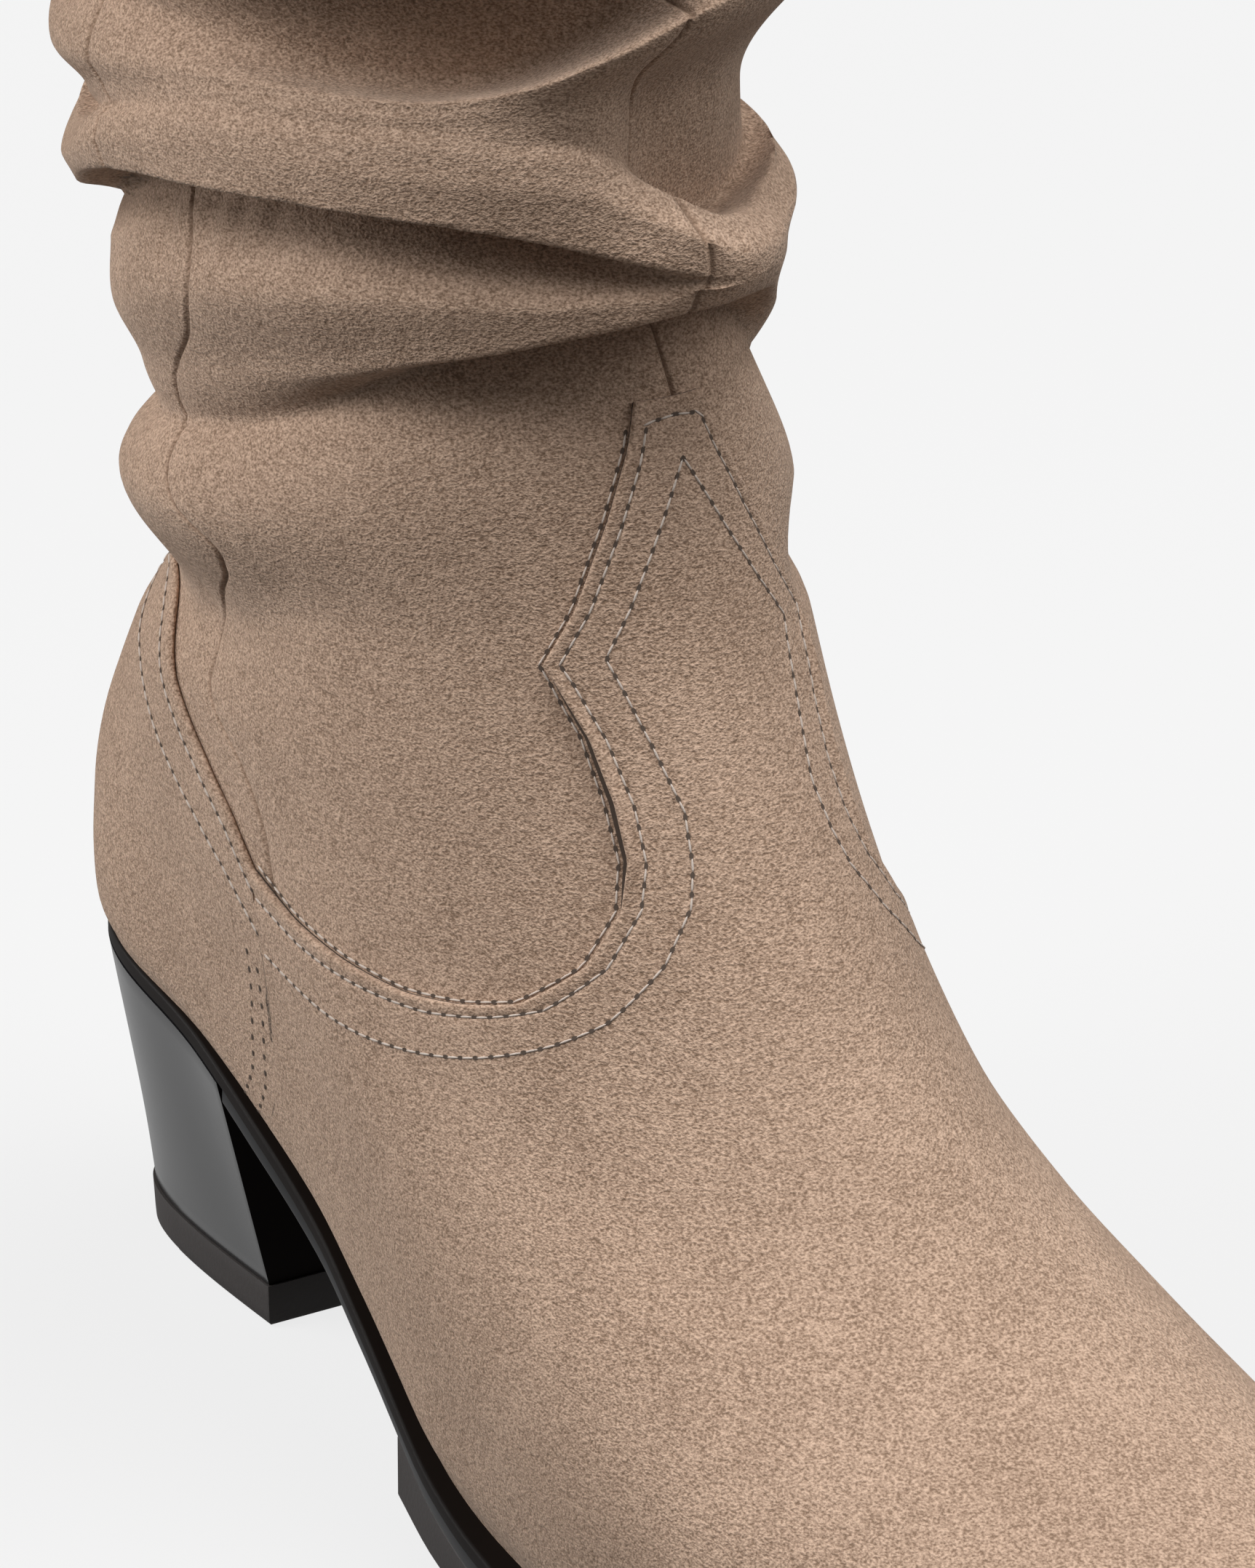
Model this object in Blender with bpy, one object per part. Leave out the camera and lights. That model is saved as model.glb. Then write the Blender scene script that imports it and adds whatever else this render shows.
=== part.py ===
"""Slouch ankle boot for the right foot.

Sizes are millimetres on the shoe: x runs from the heel to the toe, y to the inside of the foot,
z up from the floor. The upper is a stack of closed loops from the feather line, where suede meets
sole, to the collar. A bearing of 0 is the front, 180 the back, and the outside of the foot is negative.
"""
import bmesh
import bpy
import numpy as np

MM = 0.001

# Whole boot
COLLAR_WALL = 2.2            # suede and lining together
OVERLAY_THICK = 0.8          # vamp and counter leather
FIT_GAP = 0.3                # clear space between pieces that meet
OVERLAY_FACE = 0.8           # face of the overlays over the nominal skin
# Upper's face from the nominal skin, deeper under the overlays: loop number, distance
UPPER_FACE = ((0, -1.1), (7, -1.2), (9.6, -1.1), (12, -0.7), (19, -0.7))
FOLD_BACKING = 0.7           # share of each outward fold that the inside follows

# Loop bearings of the eight half widths below, measured from the back
WIDTH_BEARINGS = (0, 25, 50, 75, 100, 125, 150, 180)
LOOP_COLUMNS = ("back_x", "back_z", "front_x", "front_z", "sag",
                "w0", "w25", "w50", "w75", "w100", "w125", "w150", "w180", "waist_in", "inner_share")
LOOPS = (
    # feather, wall and toe box
    (-3.6, 48.0, 258.0, 13.0, 1.00, 57.0, 57.0, 39.2, 34.6, 42.6, 46.5, 42.0, 39.0, 5.0, 0.98),
    (-5.6, 51.0, 259.0, 18.0, 0.90, 58.5, 58.5, 41.2, 37.2, 45.0, 49.0, 44.5, 41.0, 4.5, 0.97),
    (-6.8, 57.0, 254.0, 26.5, 0.80, 57.6, 58.0, 41.8, 38.0, 45.0, 49.5, 45.5, 42.0, 4.0, 0.95),
    (-7.4, 63.0, 236.0, 34.0, 0.64, 55.5, 55.5, 41.6, 37.6, 43.6, 47.5, 45.5, 43.0, 3.0, 0.92),
    (-7.2, 69.0, 215.0, 40.0, 0.44, 53.0, 53.0, 40.8, 37.0, 41.6, 44.5, 44.0, 42.0, 2.0, 0.90),
    (-6.0, 75.5, 192.0, 46.5, 0.26, 49.5, 49.5, 40.0, 36.6, 39.6, 41.5, 41.5, 40.0, 1.0, 0.88),
    (-3.6, 82.5, 168.0, 55.5, 0.12, 46.0, 45.0, 39.0, 36.2, 38.0, 39.0, 39.0, 38.0, 0.5, 0.88),
    # instep and ankle
    (0.2, 90.0, 149.5, 68.5, 0.04, 42.5, 41.5, 38.0, 36.0, 37.0, 37.5, 37.0, 36.5, 0.0, 0.89),
    (5.0, 98.0, 136.5, 82.5, 0.00, 40.0, 39.0, 37.0, 35.8, 36.2, 36.4, 36.0, 35.5, 0.0, 0.90),
    (9.0, 106.0, 127.0, 95.5, 0.00, 38.0, 37.5, 36.4, 35.6, 35.8, 35.8, 35.2, 34.6, 0.0, 0.91),
    (11.0, 114.0, 119.0, 108.5, 0.00, 37.4, 37.2, 36.4, 35.8, 35.6, 35.6, 35.2, 34.6, 0.0, 0.92),
    (11.0, 123.0, 112.8, 121.0, 0.00, 38.0, 38.0, 37.2, 36.4, 35.8, 35.8, 35.4, 35.0, 0.0, 0.92),
    # slouched shaft
    (8.6, 134.0, 108.6, 134.0, 0.00, 39.4, 39.4, 38.4, 37.2, 36.4, 36.2, 35.8, 35.4, 0.0, 0.92),
    (5.0, 147.0, 106.4, 147.0, 0.00, 41.2, 41.2, 39.8, 38.2, 37.2, 37.0, 36.6, 36.2, 0.0, 0.92),
    (1.0, 162.0, 105.0, 162.0, 0.00, 43.0, 43.0, 41.4, 39.6, 38.6, 38.4, 38.0, 37.6, 0.0, 0.92),
    (-2.6, 180.0, 104.6, 180.0, 0.00, 44.6, 44.6, 43.0, 41.2, 40.2, 40.0, 39.6, 39.4, 0.0, 0.93),
    (-5.0, 200.0, 105.0, 200.0, 0.00, 45.6, 45.6, 44.2, 42.6, 41.6, 41.4, 41.2, 41.0, 0.0, 0.94),
    (-6.4, 224.0, 106.0, 224.0, 0.00, 46.0, 46.0, 45.0, 44.0, 43.2, 43.0, 42.8, 42.6, 0.0, 0.96),
    (-7.0, 250.0, 107.0, 250.0, 0.00, 46.0, 46.0, 45.4, 44.8, 44.2, 44.0, 44.0, 44.0, 0.0, 0.98),
    (-7.2, 276.0, 107.8, 276.0, 0.00, 46.0, 46.0, 45.6, 45.2, 44.8, 44.6, 44.6, 44.6, 0.0, 1.00),
)
WAIST_BEARING = 66.0         # from the back, where the inner waist is deepest
WAIST_SPREAD = 24.0

# Height of the feather line along the foot: x, z
FEATHER = ((-12, 48.4), (-2, 47.9), (20, 46.2), (47, 41.6), (60, 36.6), (74, 29.6), (88, 22.4),
           (110, 13.8), (133, 9.2), (160, 8.3), (190, 8.5), (220, 9.6), (245, 11.6), (262, 13.6), (276, 15.0))
# Swing of the centre line to the inside of the foot: x, y
SWING = ((-12, 0.0), (60, 0.0), (100, 0.2), (140, 1.2), (180, 3.2), (220, 6.0), (258, 9.0), (276, 10.0))

# Slouch folds: half height, droop, then bearing, height and outward push round the shaft
FOLDS = {
    "ankle roll": (7.0, 2.0, ((-180, 117, 3.0), (-135, 118, 5.0), (-105, 121, 5.0), (-65, 126, 1.0),
                              (-30, 128, 0.0), (20, 130, 0.0), (60, 132, 2.0), (120, 124, 3.0))),
    "rear pleat": (6.5, 2.5, ((-180, 144, 1.5), (-135, 142, 2.0), (-100, 146, 0.5), (-60, 153, 3.0),
                              (-30, 160, 4.0), (-12, 161, 2.5), (20, 150, 0.0), (120, 146, 1.0))),
    "trough under the big fold": (5.0, 0.0, ((-180, 152, 0.0), (-135, 153, -1.0), (-100, 157, -4.0),
                                             (-60, 165, -4.0), (-30, 168, -3.0), (-12, 168, -1.0),
                                             (30, 165, 0.0), (120, 155, 0.0))),
    "big fold": (7.5, 2.0, ((-180, 162, 3.0), (-135, 161, 4.0), (-100, 166, 4.5), (-60, 174, 5.5),
                            (-30, 176, 5.5), (-14, 172, 6.5), (2, 168, 7.5), (18, 166, 7.5),
                            (40, 165, 7.0), (70, 163, 5.0), (120, 158, 3.0))),
    "ankle trough": (6.0, 0.0, ((-180, 130, -0.5), (-135, 129, -1.5), (-100, 133, -1.0), (-60, 143, -2.5),
                                (-30, 151, -3.0), (0, 154, -3.0), (30, 151, -2.5), (60, 146, -2.5),
                                (120, 140, -1.0))),
    "upper branch": (6.5, 1.5, ((-180, 178, 3.0), (-135, 176, 3.5), (-100, 178, 3.0), (-60, 182, 3.5),
                                (-30, 185, 3.5), (-12, 190, 4.0), (5, 195, 5.5), (30, 199, 6.0),
                                (70, 200, 5.0), (120, 190, 3.0))),
    "front hollow": (7.0, 0.0, ((-180, 170, -1.0), (-135, 168, -1.0), (-100, 172, 0.0), (-40, 184, 0.0),
                                (-14, 184, -2.0), (0, 182, -4.5), (20, 180, -5.5), (45, 180, -5.5),
                                (75, 178, -5.0), (120, 174, -2.0))),
    "side hollow": (6.5, 0.0, ((-180, 188, -1.0), (-135, 186, -2.0), (-100, 189, -3.0), (-60, 192, -5.0),
                               (-30, 195, -6.0), (-12, 199, -5.0), (10, 206, -3.0), (60, 212, -3.0),
                               (120, 202, -2.0))),
    "third fold": (8.0, 2.0, ((-180, 197, 3.0), (-135, 196, 4.0), (-90, 202, 5.0), (-40, 209, 5.0),
                              (0, 216, 4.0), (50, 220, 3.5), (120, 208, 3.0))),
    "third trough": (7.0, 0.0, ((-180, 209, -2.0), (-120, 211, -3.0), (-60, 219, -3.0), (0, 228, -3.5),
                                (60, 229, -3.0), (120, 218, -2.5))),
    "fourth fold": (9.0, 2.0, ((-180, 224, 4.0), (-110, 228, 3.5), (-40, 233, 3.0), (20, 240, 4.0),
                               (80, 238, 4.0), (130, 229, 3.5))),
    "top trough": (9.0, 0.0, ((-180, 246, -2.0), (-90, 245, -2.5), (0, 254, -2.0), (90, 251, -2.0))),
}

# Edge of vamp and counter on the outside of the foot: bearing from the front, loop number
VAMP_EDGE = ((0.0, 12.75), (8.5, 12.75), (11.0, 12.35), (17.0, 11.8), (25.5, 11.1), (33.5, 10.55),
             (32.0, 10.4), (28.5, 9.9), (27.4, 9.35), (28.0, 8.85), (31.5, 8.4), (40.0, 7.85),
             (52.0, 7.35), (61.0, 7.1), (71.0, 6.85), (82.0, 6.65), (92.0, 6.5), (100.0, 6.5))
COUNTER_EDGE = ((100.0, 6.5), (104.0, 6.95), (110.0, 7.3), (120.0, 7.75), (130.0, 8.3), (145.0, 8.9),
                (162.0, 9.25), (180.0, 9.35))
# Spread of the vamp's grid lines into the tongue: loop number, factor on the bearing
TONGUE_SPREAD = ((0, 1.0), (8.3, 1.0), (8.85, 1.05), (9.35, 1.14), (9.9, 1.29), (10.4, 1.48),
                 (10.6, 1.57), (11.2, 1.62), (13, 1.62))
NO_SPREAD = ((0, 1.0), (13, 1.0))
JOIN_GAP = 0.35              # degrees each side of that line
JOIN_LEAN = ((0.0, 121.0), (2.0, 118.5), (4.0, 114.0), (5.6, 107.0), (6.5, 100.0))

# Sole stack
WELT_LEDGE = ((-12, 0.9), (30, 1.3), (60, 2.6), (100, 3.6), (150, 3.8), (230, 3.6), (276, 3.6))
WELT_DROP = 0.5              # under the feather line
WELT_THICK = 2.4
SOLE_THICK = 2.6
SOLE_INSET = 0.7
SOLE_REAR = 47.6
TREAD_START = 101.0
TREAD_INSET = 0.9
TREAD_FLAT = (122.0, 206.0)  # rests on the floor between these
TOE_SPRING = 5.6
TREAD_NOSE = 3.4             # height of the tread's underside where it starts
INSOLE_THICK = 2.2
INSOLE_INSET = 3.9

# Heel
BREAST_TOP = 47.0
BREAST_FOOT = 44.8
HEEL_FOOT_BACK = 1.8
HEEL_FOOT_HALF = 22.8
HEEL_FULLNESS = 1.0          # swell of the heel's back half way down
LIFT_THICK = 6.0
LIFT_LENGTH_TRIM = 0.3

# Mesh counts
COLUMNS = 40
FOOT_ROWS = (0, 0.5, 1, 1.5, 2, 2.6, 3.3, 4, 5, 6, 7, 8, 9, 9.6)
SHAFT_START = 110.0
SHAFT_STEPS = ((142.0, 5.4), (202.0, 4.0), (276.0, 7.4))

WIDTH_ANGLES = np.radians(WIDTH_BEARINGS)
LOOP_TABLE = np.array(LOOPS)


def curve(points, x):
    """Smooth curve through a short table of pairs."""
    table = np.asarray(points, dtype=float)
    xs = table[:, 0]
    ys = table[:, 1]
    step = np.diff(xs)
    rise = np.diff(ys) / step
    between = (step[1:] * rise[:-1] + step[:-1] * rise[1:]) / (step[1:] + step[:-1])
    slope = np.concatenate(([rise[0]], between, [rise[-1]]))
    x = np.clip(np.asarray(x, dtype=float), xs[0], xs[-1])
    i = np.clip(np.searchsorted(xs, x, side="right") - 1, 0, len(xs) - 2)
    t = (x - xs[i]) / step[i]
    a = (2 * t ** 3 - 3 * t ** 2 + 1) * ys[i] + (t ** 3 - 2 * t ** 2 + t) * step[i] * slope[i]
    b = (3 * t ** 2 - 2 * t ** 3) * ys[i + 1] + (t ** 3 - t ** 2) * step[i] * slope[i + 1]
    return a + b


def around(rows, column, bearing):
    """Smooth value round the shaft from rows of bearing, height and push."""
    table = sorted((row[0], row[column]) for row in rows)
    before = [(b - 360, value) for b, value in table]
    after = [(b + 360, value) for b, value in table]
    return curve(before + table + after, bearing)


def loop_row(v):
    """Loop sizes between the rows of the table."""
    last = len(LOOP_TABLE) - 1
    v = np.clip(v, 0, last)
    i = np.clip(np.floor(v).astype(int), 0, last - 1)
    t = (v - i)[..., None]
    b = LOOP_TABLE[i]
    c = LOOP_TABLE[i + 1]
    a = np.where((i > 0)[..., None], LOOP_TABLE[np.maximum(i - 1, 0)], 2 * b - c)
    d = np.where((i < last - 1)[..., None], LOOP_TABLE[np.minimum(i + 2, last)], 2 * c - b)
    bend = 2 * a - 5 * b + 4 * c - d
    twist = 3 * b - a - 3 * c + d
    row = 0.5 * (2 * b + (c - a) * t + bend * t ** 2 + twist * t ** 3)
    return {name: row[..., k] for k, name in enumerate(LOOP_COLUMNS)}


def half_width(row, turn):
    """Half width of a loop at a turn measured from the back."""
    ys = np.stack([row["w%d" % b] for b in WIDTH_BEARINGS], axis=-1)
    step = np.diff(WIDTH_ANGLES)
    rise = np.diff(ys, axis=-1) / step
    slope = np.zeros_like(ys)
    slope[..., 1:-1] = (step[1:] * rise[..., :-1] + step[:-1] * rise[..., 1:]) / (step[1:] + step[:-1])
    i = np.clip(np.searchsorted(WIDTH_ANGLES, turn, side="right") - 1, 0, len(WIDTH_ANGLES) - 2)
    t = (turn - WIDTH_ANGLES[i]) / step[i]

    def pick(array, index):
        return np.take_along_axis(array, index[..., None], -1)[..., 0]

    run = step[i]
    a = (2 * t ** 3 - 3 * t ** 2 + 1) * pick(ys, i) + (t ** 3 - 2 * t ** 2 + t) * run * pick(slope, i)
    b = (3 * t ** 2 - 2 * t ** 3) * pick(ys, i + 1) + (t ** 3 - t ** 2) * run * pick(slope, i + 1)
    return (a + b) * np.sin(turn)


def bare(v, bearing):
    """The last and a plain shaft, before any fold."""
    v, bearing = np.broadcast_arrays(np.asarray(v, dtype=float), np.asarray(bearing, dtype=float))
    row = loop_row(v)
    turn = np.radians(180 - np.abs(bearing))
    share = (1 - np.cos(turn)) / 2
    x = row["back_x"] + (row["front_x"] - row["back_x"]) * share
    first = LOOPS[0]
    straight = first[1] + (first[3] - first[1]) * np.clip((x - first[0]) / (first[2] - first[0]), 0, 1)
    dip = straight - curve(FEATHER, x)
    z = row["back_z"] + (row["front_z"] - row["back_z"]) * share - row["sag"] * dip
    wide = half_width(row, turn)
    ramp = np.clip((turn - 0.9) / 0.7, 0, 1)
    ramp = ramp * ramp * (3 - 2 * ramp)
    waist = row["waist_in"] * np.exp(-((np.degrees(turn) - WAIST_BEARING) / WAIST_SPREAD) ** 2)
    inner = wide * (1 + (row["inner_share"] - 1) * ramp) - waist
    y = np.where(bearing > 0, inner, -wide) + curve(SWING, x)
    return np.stack([x, y, z], axis=-1)


def normal(surface, v, bearing):
    """Outward direction of a surface of loops."""
    v, bearing = np.broadcast_arrays(np.asarray(v, dtype=float), np.asarray(bearing, dtype=float))
    top = len(LOOPS) - 1
    along = surface(np.minimum(v + 0.02, top), bearing) - surface(np.maximum(v - 0.02, 0), bearing)
    across = surface(v, bearing + 0.4) - surface(v, bearing - 0.4)
    n = np.cross(across, along)
    return n / np.maximum(np.linalg.norm(n, axis=-1, keepdims=True), 1e-9)


def folded(v, bearing, backing=1.0):
    """The boot's nominal skin with its slouch folds."""
    v, bearing = np.broadcast_arrays(np.asarray(v, dtype=float), np.asarray(bearing, dtype=float))
    p = bare(v, bearing)
    side = normal(bare, v, bearing)
    side[..., 2] = 0
    side /= np.maximum(np.linalg.norm(side, axis=-1, keepdims=True), 1e-9)
    out = np.zeros(v.shape)
    down = np.zeros(v.shape)
    for half, droop, rows in FOLDS.values():
        height = around(rows, 1, bearing)
        push = around(rows, 2, bearing)
        bump = np.exp(-((p[..., 2] - height) / half) ** 2)
        out += bump * np.where(push > 0, push * backing, push)
        down += bump * droop * np.clip(push / 5, 0, 1)
    p = p + side * out[..., None]
    p[..., 2] -= down
    return p


def inside(v, bearing):
    """The softer folds that the inside face follows."""
    return folded(v, bearing, FOLD_BACKING)


def skin(v, bearing, out, surface=folded):
    """A face of the boot at a depth from the nominal skin."""
    p = surface(v, bearing) + normal(surface, v, bearing) * out
    low = np.broadcast_to(np.asarray(v, dtype=float), p.shape[:-1]) <= 0
    p[..., 2] = np.where(low, curve(FEATHER, p[..., 0]), p[..., 2])
    return p


def shell(name, outer, inner, closed, material):
    """Thin solid between two grids of points; closed grids go right round."""
    rows, cols = outer.shape[:2]
    bm = bmesh.new()
    faces = []
    grids = []
    for grid in (outer, inner):
        grids.append([[bm.verts.new(grid[i, j] * MM) for j in range(cols)] for i in range(rows)])
    spans = range(cols) if closed else range(cols - 1)
    for side, grid in enumerate(grids):
        for i in range(rows - 1):
            for j in spans:
                k = (j + 1) % cols
                ring = [grid[i][j], grid[i][k], grid[i + 1][k], grid[i + 1][j]]
                faces.append(ring if side == 0 else ring[::-1])
    a, b = grids
    for j in spans:
        k = (j + 1) % cols
        faces.append([b[0][j], b[0][k], a[0][k], a[0][j]])
        faces.append([a[-1][j], a[-1][k], b[-1][k], b[-1][j]])
    if not closed:
        for i in range(rows - 1):
            faces.append([a[i][0], a[i + 1][0], b[i + 1][0], b[i][0]])
            faces.append([b[i][-1], b[i + 1][-1], a[i + 1][-1], a[i][-1]])
    for ring in faces:
        bm.faces.new(ring)
    return finish(name, bm, material)


def stack(name, rings, material):
    """Solid from rings of outside and inside points, the first on top; an end may close to a point."""
    bm = bmesh.new()
    nets = []
    for ring in rings:
        net = []
        for left, right in ring:
            a = bm.verts.new(np.asarray(left) * MM)
            joined = np.linalg.norm(np.asarray(left) - np.asarray(right)) < 1e-6
            net.append((a, a if joined else bm.verts.new(np.asarray(right) * MM)))
        nets.append(net)

    def face(*corners):
        unique = list(dict.fromkeys(corners))
        if len(unique) > 2:
            bm.faces.new(unique)

    count = len(nets[0])
    for net, up in ((nets[0], True), (nets[-1], False)):
        for i in range(count - 1):
            ring = (net[i][0], net[i][1], net[i + 1][1], net[i + 1][0])
            face(*(ring if up else ring[::-1]))
    for top, low in zip(nets[:-1], nets[1:]):
        for i in range(count - 1):
            face(top[i][0], top[i + 1][0], low[i + 1][0], low[i][0])
            face(top[i + 1][1], top[i][1], low[i][1], low[i + 1][1])
        face(top[0][1], top[0][0], low[0][0], low[0][1])
        face(top[-1][0], top[-1][1], low[-1][1], low[-1][0])
    return finish(name, bm, material)


def finish(name, bm, material):
    """Turn a closed bmesh into a named object."""
    bmesh.ops.recalc_face_normals(bm, faces=bm.faces)
    mesh = bpy.data.meshes.new(name)
    bm.to_mesh(mesh)
    bm.free()
    obj = bpy.data.objects.new(name, mesh)
    mesh.materials.append(material)
    bpy.context.scene.collection.objects.link(obj)
    return obj


def surface_material(name, colour, roughness):
    """Plain material for a node."""
    material = bpy.data.materials.new(name)
    material.use_nodes = True
    shader = material.node_tree.nodes["Principled BSDF"]
    shader.inputs["Base Color"].default_value = (*colour, 1)
    shader.inputs["Roughness"].default_value = roughness
    shader.inputs["Metallic"].default_value = 0.0
    return material


def outline(bearings, offset):
    """Pairs of outside and inside points of the feather line, set out sideways by a curve or a size."""
    pairs = []
    for b in bearings:
        pair = []
        for sign in (-1, 1):
            p = bare(0.0, sign * b)
            n = normal(bare, 0.0, sign * b)
            n[2] = 0
            n /= np.linalg.norm(n)
            size = offset if np.isscalar(offset) else curve(offset, p[0])
            pair.append(p + n * size)
        pairs.append(pair)
    for end in (0, -1):
        if bearings[end] in (0, 180):
            pairs[end] = [pairs[end][0]] * 2
    return np.array(pairs)


def plate(name, bearings, edges, material):
    """Plate that follows the sole, from a list of side offset and height curves, top first."""
    rings = []
    for offset, height in edges:
        ring = outline(bearings, offset)
        ring[..., 2] = height(ring[..., 0])
        rings.append(ring)
    return stack(name, rings, material)


def bearing_of(x):
    """Bearing on the feather line at a distance along the foot."""
    back, front = LOOPS[0][0], LOOPS[0][2]
    return float(180 - np.degrees(np.arccos(1 - 2 * (x - back) / (front - back))))


def feather(x):
    return curve(FEATHER, x)


def build_upper(material):
    """The hollow upper: foot and shaft in one sleeve."""
    rows = list(FOOT_ROWS)
    heights = [SHAFT_START]
    for limit, step in SHAFT_STEPS:
        count = int(round((limit - heights[-1]) / step))
        heights += list(np.linspace(heights[-1], limit, count + 1)[1:])
    backs = LOOP_TABLE[:, 1]
    rows += list(np.interp(heights, backs, np.arange(len(backs))))
    bearings = np.arange(COLUMNS) * 360.0 / COLUMNS - 180
    v = np.array(rows)[:, None]
    b = bearings[None, :]
    face = curve(UPPER_FACE, v)[..., None]
    outer = skin(v, b, face)
    inner = skin(v, b, face - COLLAR_WALL, inside)
    return shell("upper", outer, inner, True, material)


def edge_points(edge, count):
    """Evenly spaced points of a boundary, by distance on the boot."""
    table = np.array(edge)
    fine = np.linspace(0, len(table) - 1, 40 * len(table))
    b = np.interp(fine, np.arange(len(table)), table[:, 0])
    v = np.interp(fine, np.arange(len(table)), table[:, 1])
    run = np.concatenate(([0], np.cumsum(np.linalg.norm(np.diff(bare(v, -b), axis=0), axis=1))))
    at = np.linspace(0, run[-1], count)
    return np.interp(at, run, b), np.interp(at, run, v)


def overlay(name, edge, foot_bearings, rows, spread, material):
    """Overlay from the feather line up to an edge, on both sides of the foot."""
    top_b, top_v = edge_points(edge, len(foot_bearings))
    t = np.linspace(0, 1, rows)[:, None] ** 1.5
    low = np.asarray(foot_bearings)[None, :]
    v = t * top_v[None, :]
    loops, factors = np.array(spread).T
    high = top_b[None, :] / np.interp(top_v, loops, factors)[None, :]
    b = (low + (high - low) * t ** 1.15) * np.interp(v, loops, factors)
    if abs(edge[0][0]) < 1:
        b = np.concatenate((-b[:, :0:-1], b), axis=1)
        v = np.concatenate((v[:, :0:-1], v), axis=1)
    else:
        b = np.concatenate((b, 360 - b[:, -2::-1]), axis=1)
        v = np.concatenate((v, v[:, -2::-1]), axis=1)
        b = (b + 180) % 360 - 180
    outer = skin(v, b, OVERLAY_FACE)
    inner = skin(v, b, OVERLAY_FACE - OVERLAY_THICK)
    return shell(name, outer, inner, False, material)


def build_heel(material, rubber):
    """Block heel with a curved seat, and its top lift."""
    bearings = np.linspace(bearing_of(BREAST_TOP), 180, 15)
    top = outline(bearings, WELT_LEDGE) * 1.0
    top[..., 2] = feather(top[..., 0]) - WELT_DROP - WELT_THICK - FIT_GAP
    foot = []
    turn = np.linspace(0, 1, 15)
    for t in turn:
        length = BREAST_FOOT - HEEL_FOOT_BACK
        x = BREAST_FOOT - length * np.sin(t * np.pi / 2) ** 1.15
        half = HEEL_FOOT_HALF * max(0.0, 1 - t ** 3.2) ** 0.55
        foot.append([(x, -half, 0.0), (x, half, 0.0)])
    foot = np.array(foot)
    foot[-1] = foot[-1].mean(axis=0)
    top_of_lift = LIFT_THICK + FIT_GAP
    rings = []
    for t in (0.0, 0.25, 0.5, 0.75, 1.0):
        floor = foot * 1.0
        floor[..., 2] = top_of_lift
        ring = top + (floor - top) * t
        swell = ring[..., :2] - (BREAST_FOOT, 0)
        swell /= np.linalg.norm(swell, axis=-1, keepdims=True)
        ring[..., :2] += HEEL_FULLNESS * 4 * t * (1 - t) * swell * turn[:, None, None]
        rings.append(ring)
    block = stack("heel_block", rings, material)
    lift_rings = []
    for z, grow in ((LIFT_THICK, LIFT_LENGTH_TRIM), (0.6, 0.0), (0.0, -0.5)):
        ring = foot * 1.0
        middle = ring.mean(axis=(0, 1))
        ring[..., 0] += grow * np.sign(ring[..., 0] - middle[0])
        ring[..., 1] *= (HEEL_FOOT_HALF + grow) / HEEL_FOOT_HALF
        ring[..., 2] = z
        lift_rings.append(ring)
    lift = stack("top_lift", lift_rings, rubber)
    return block, lift


def tread_floor(x):
    """Underside of the forefoot tread: nose, flat ball, toe spring."""
    start, end = TREAD_FLAT
    x = np.asarray(x, dtype=float)
    nose = TREAD_NOSE * np.clip((start - x) / (start - TREAD_START), 0, 2) ** 1.6
    toe = TOE_SPRING * np.clip((x - end) / (258 - end), 0, 1.2) ** 1.7
    return nose + toe


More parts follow.
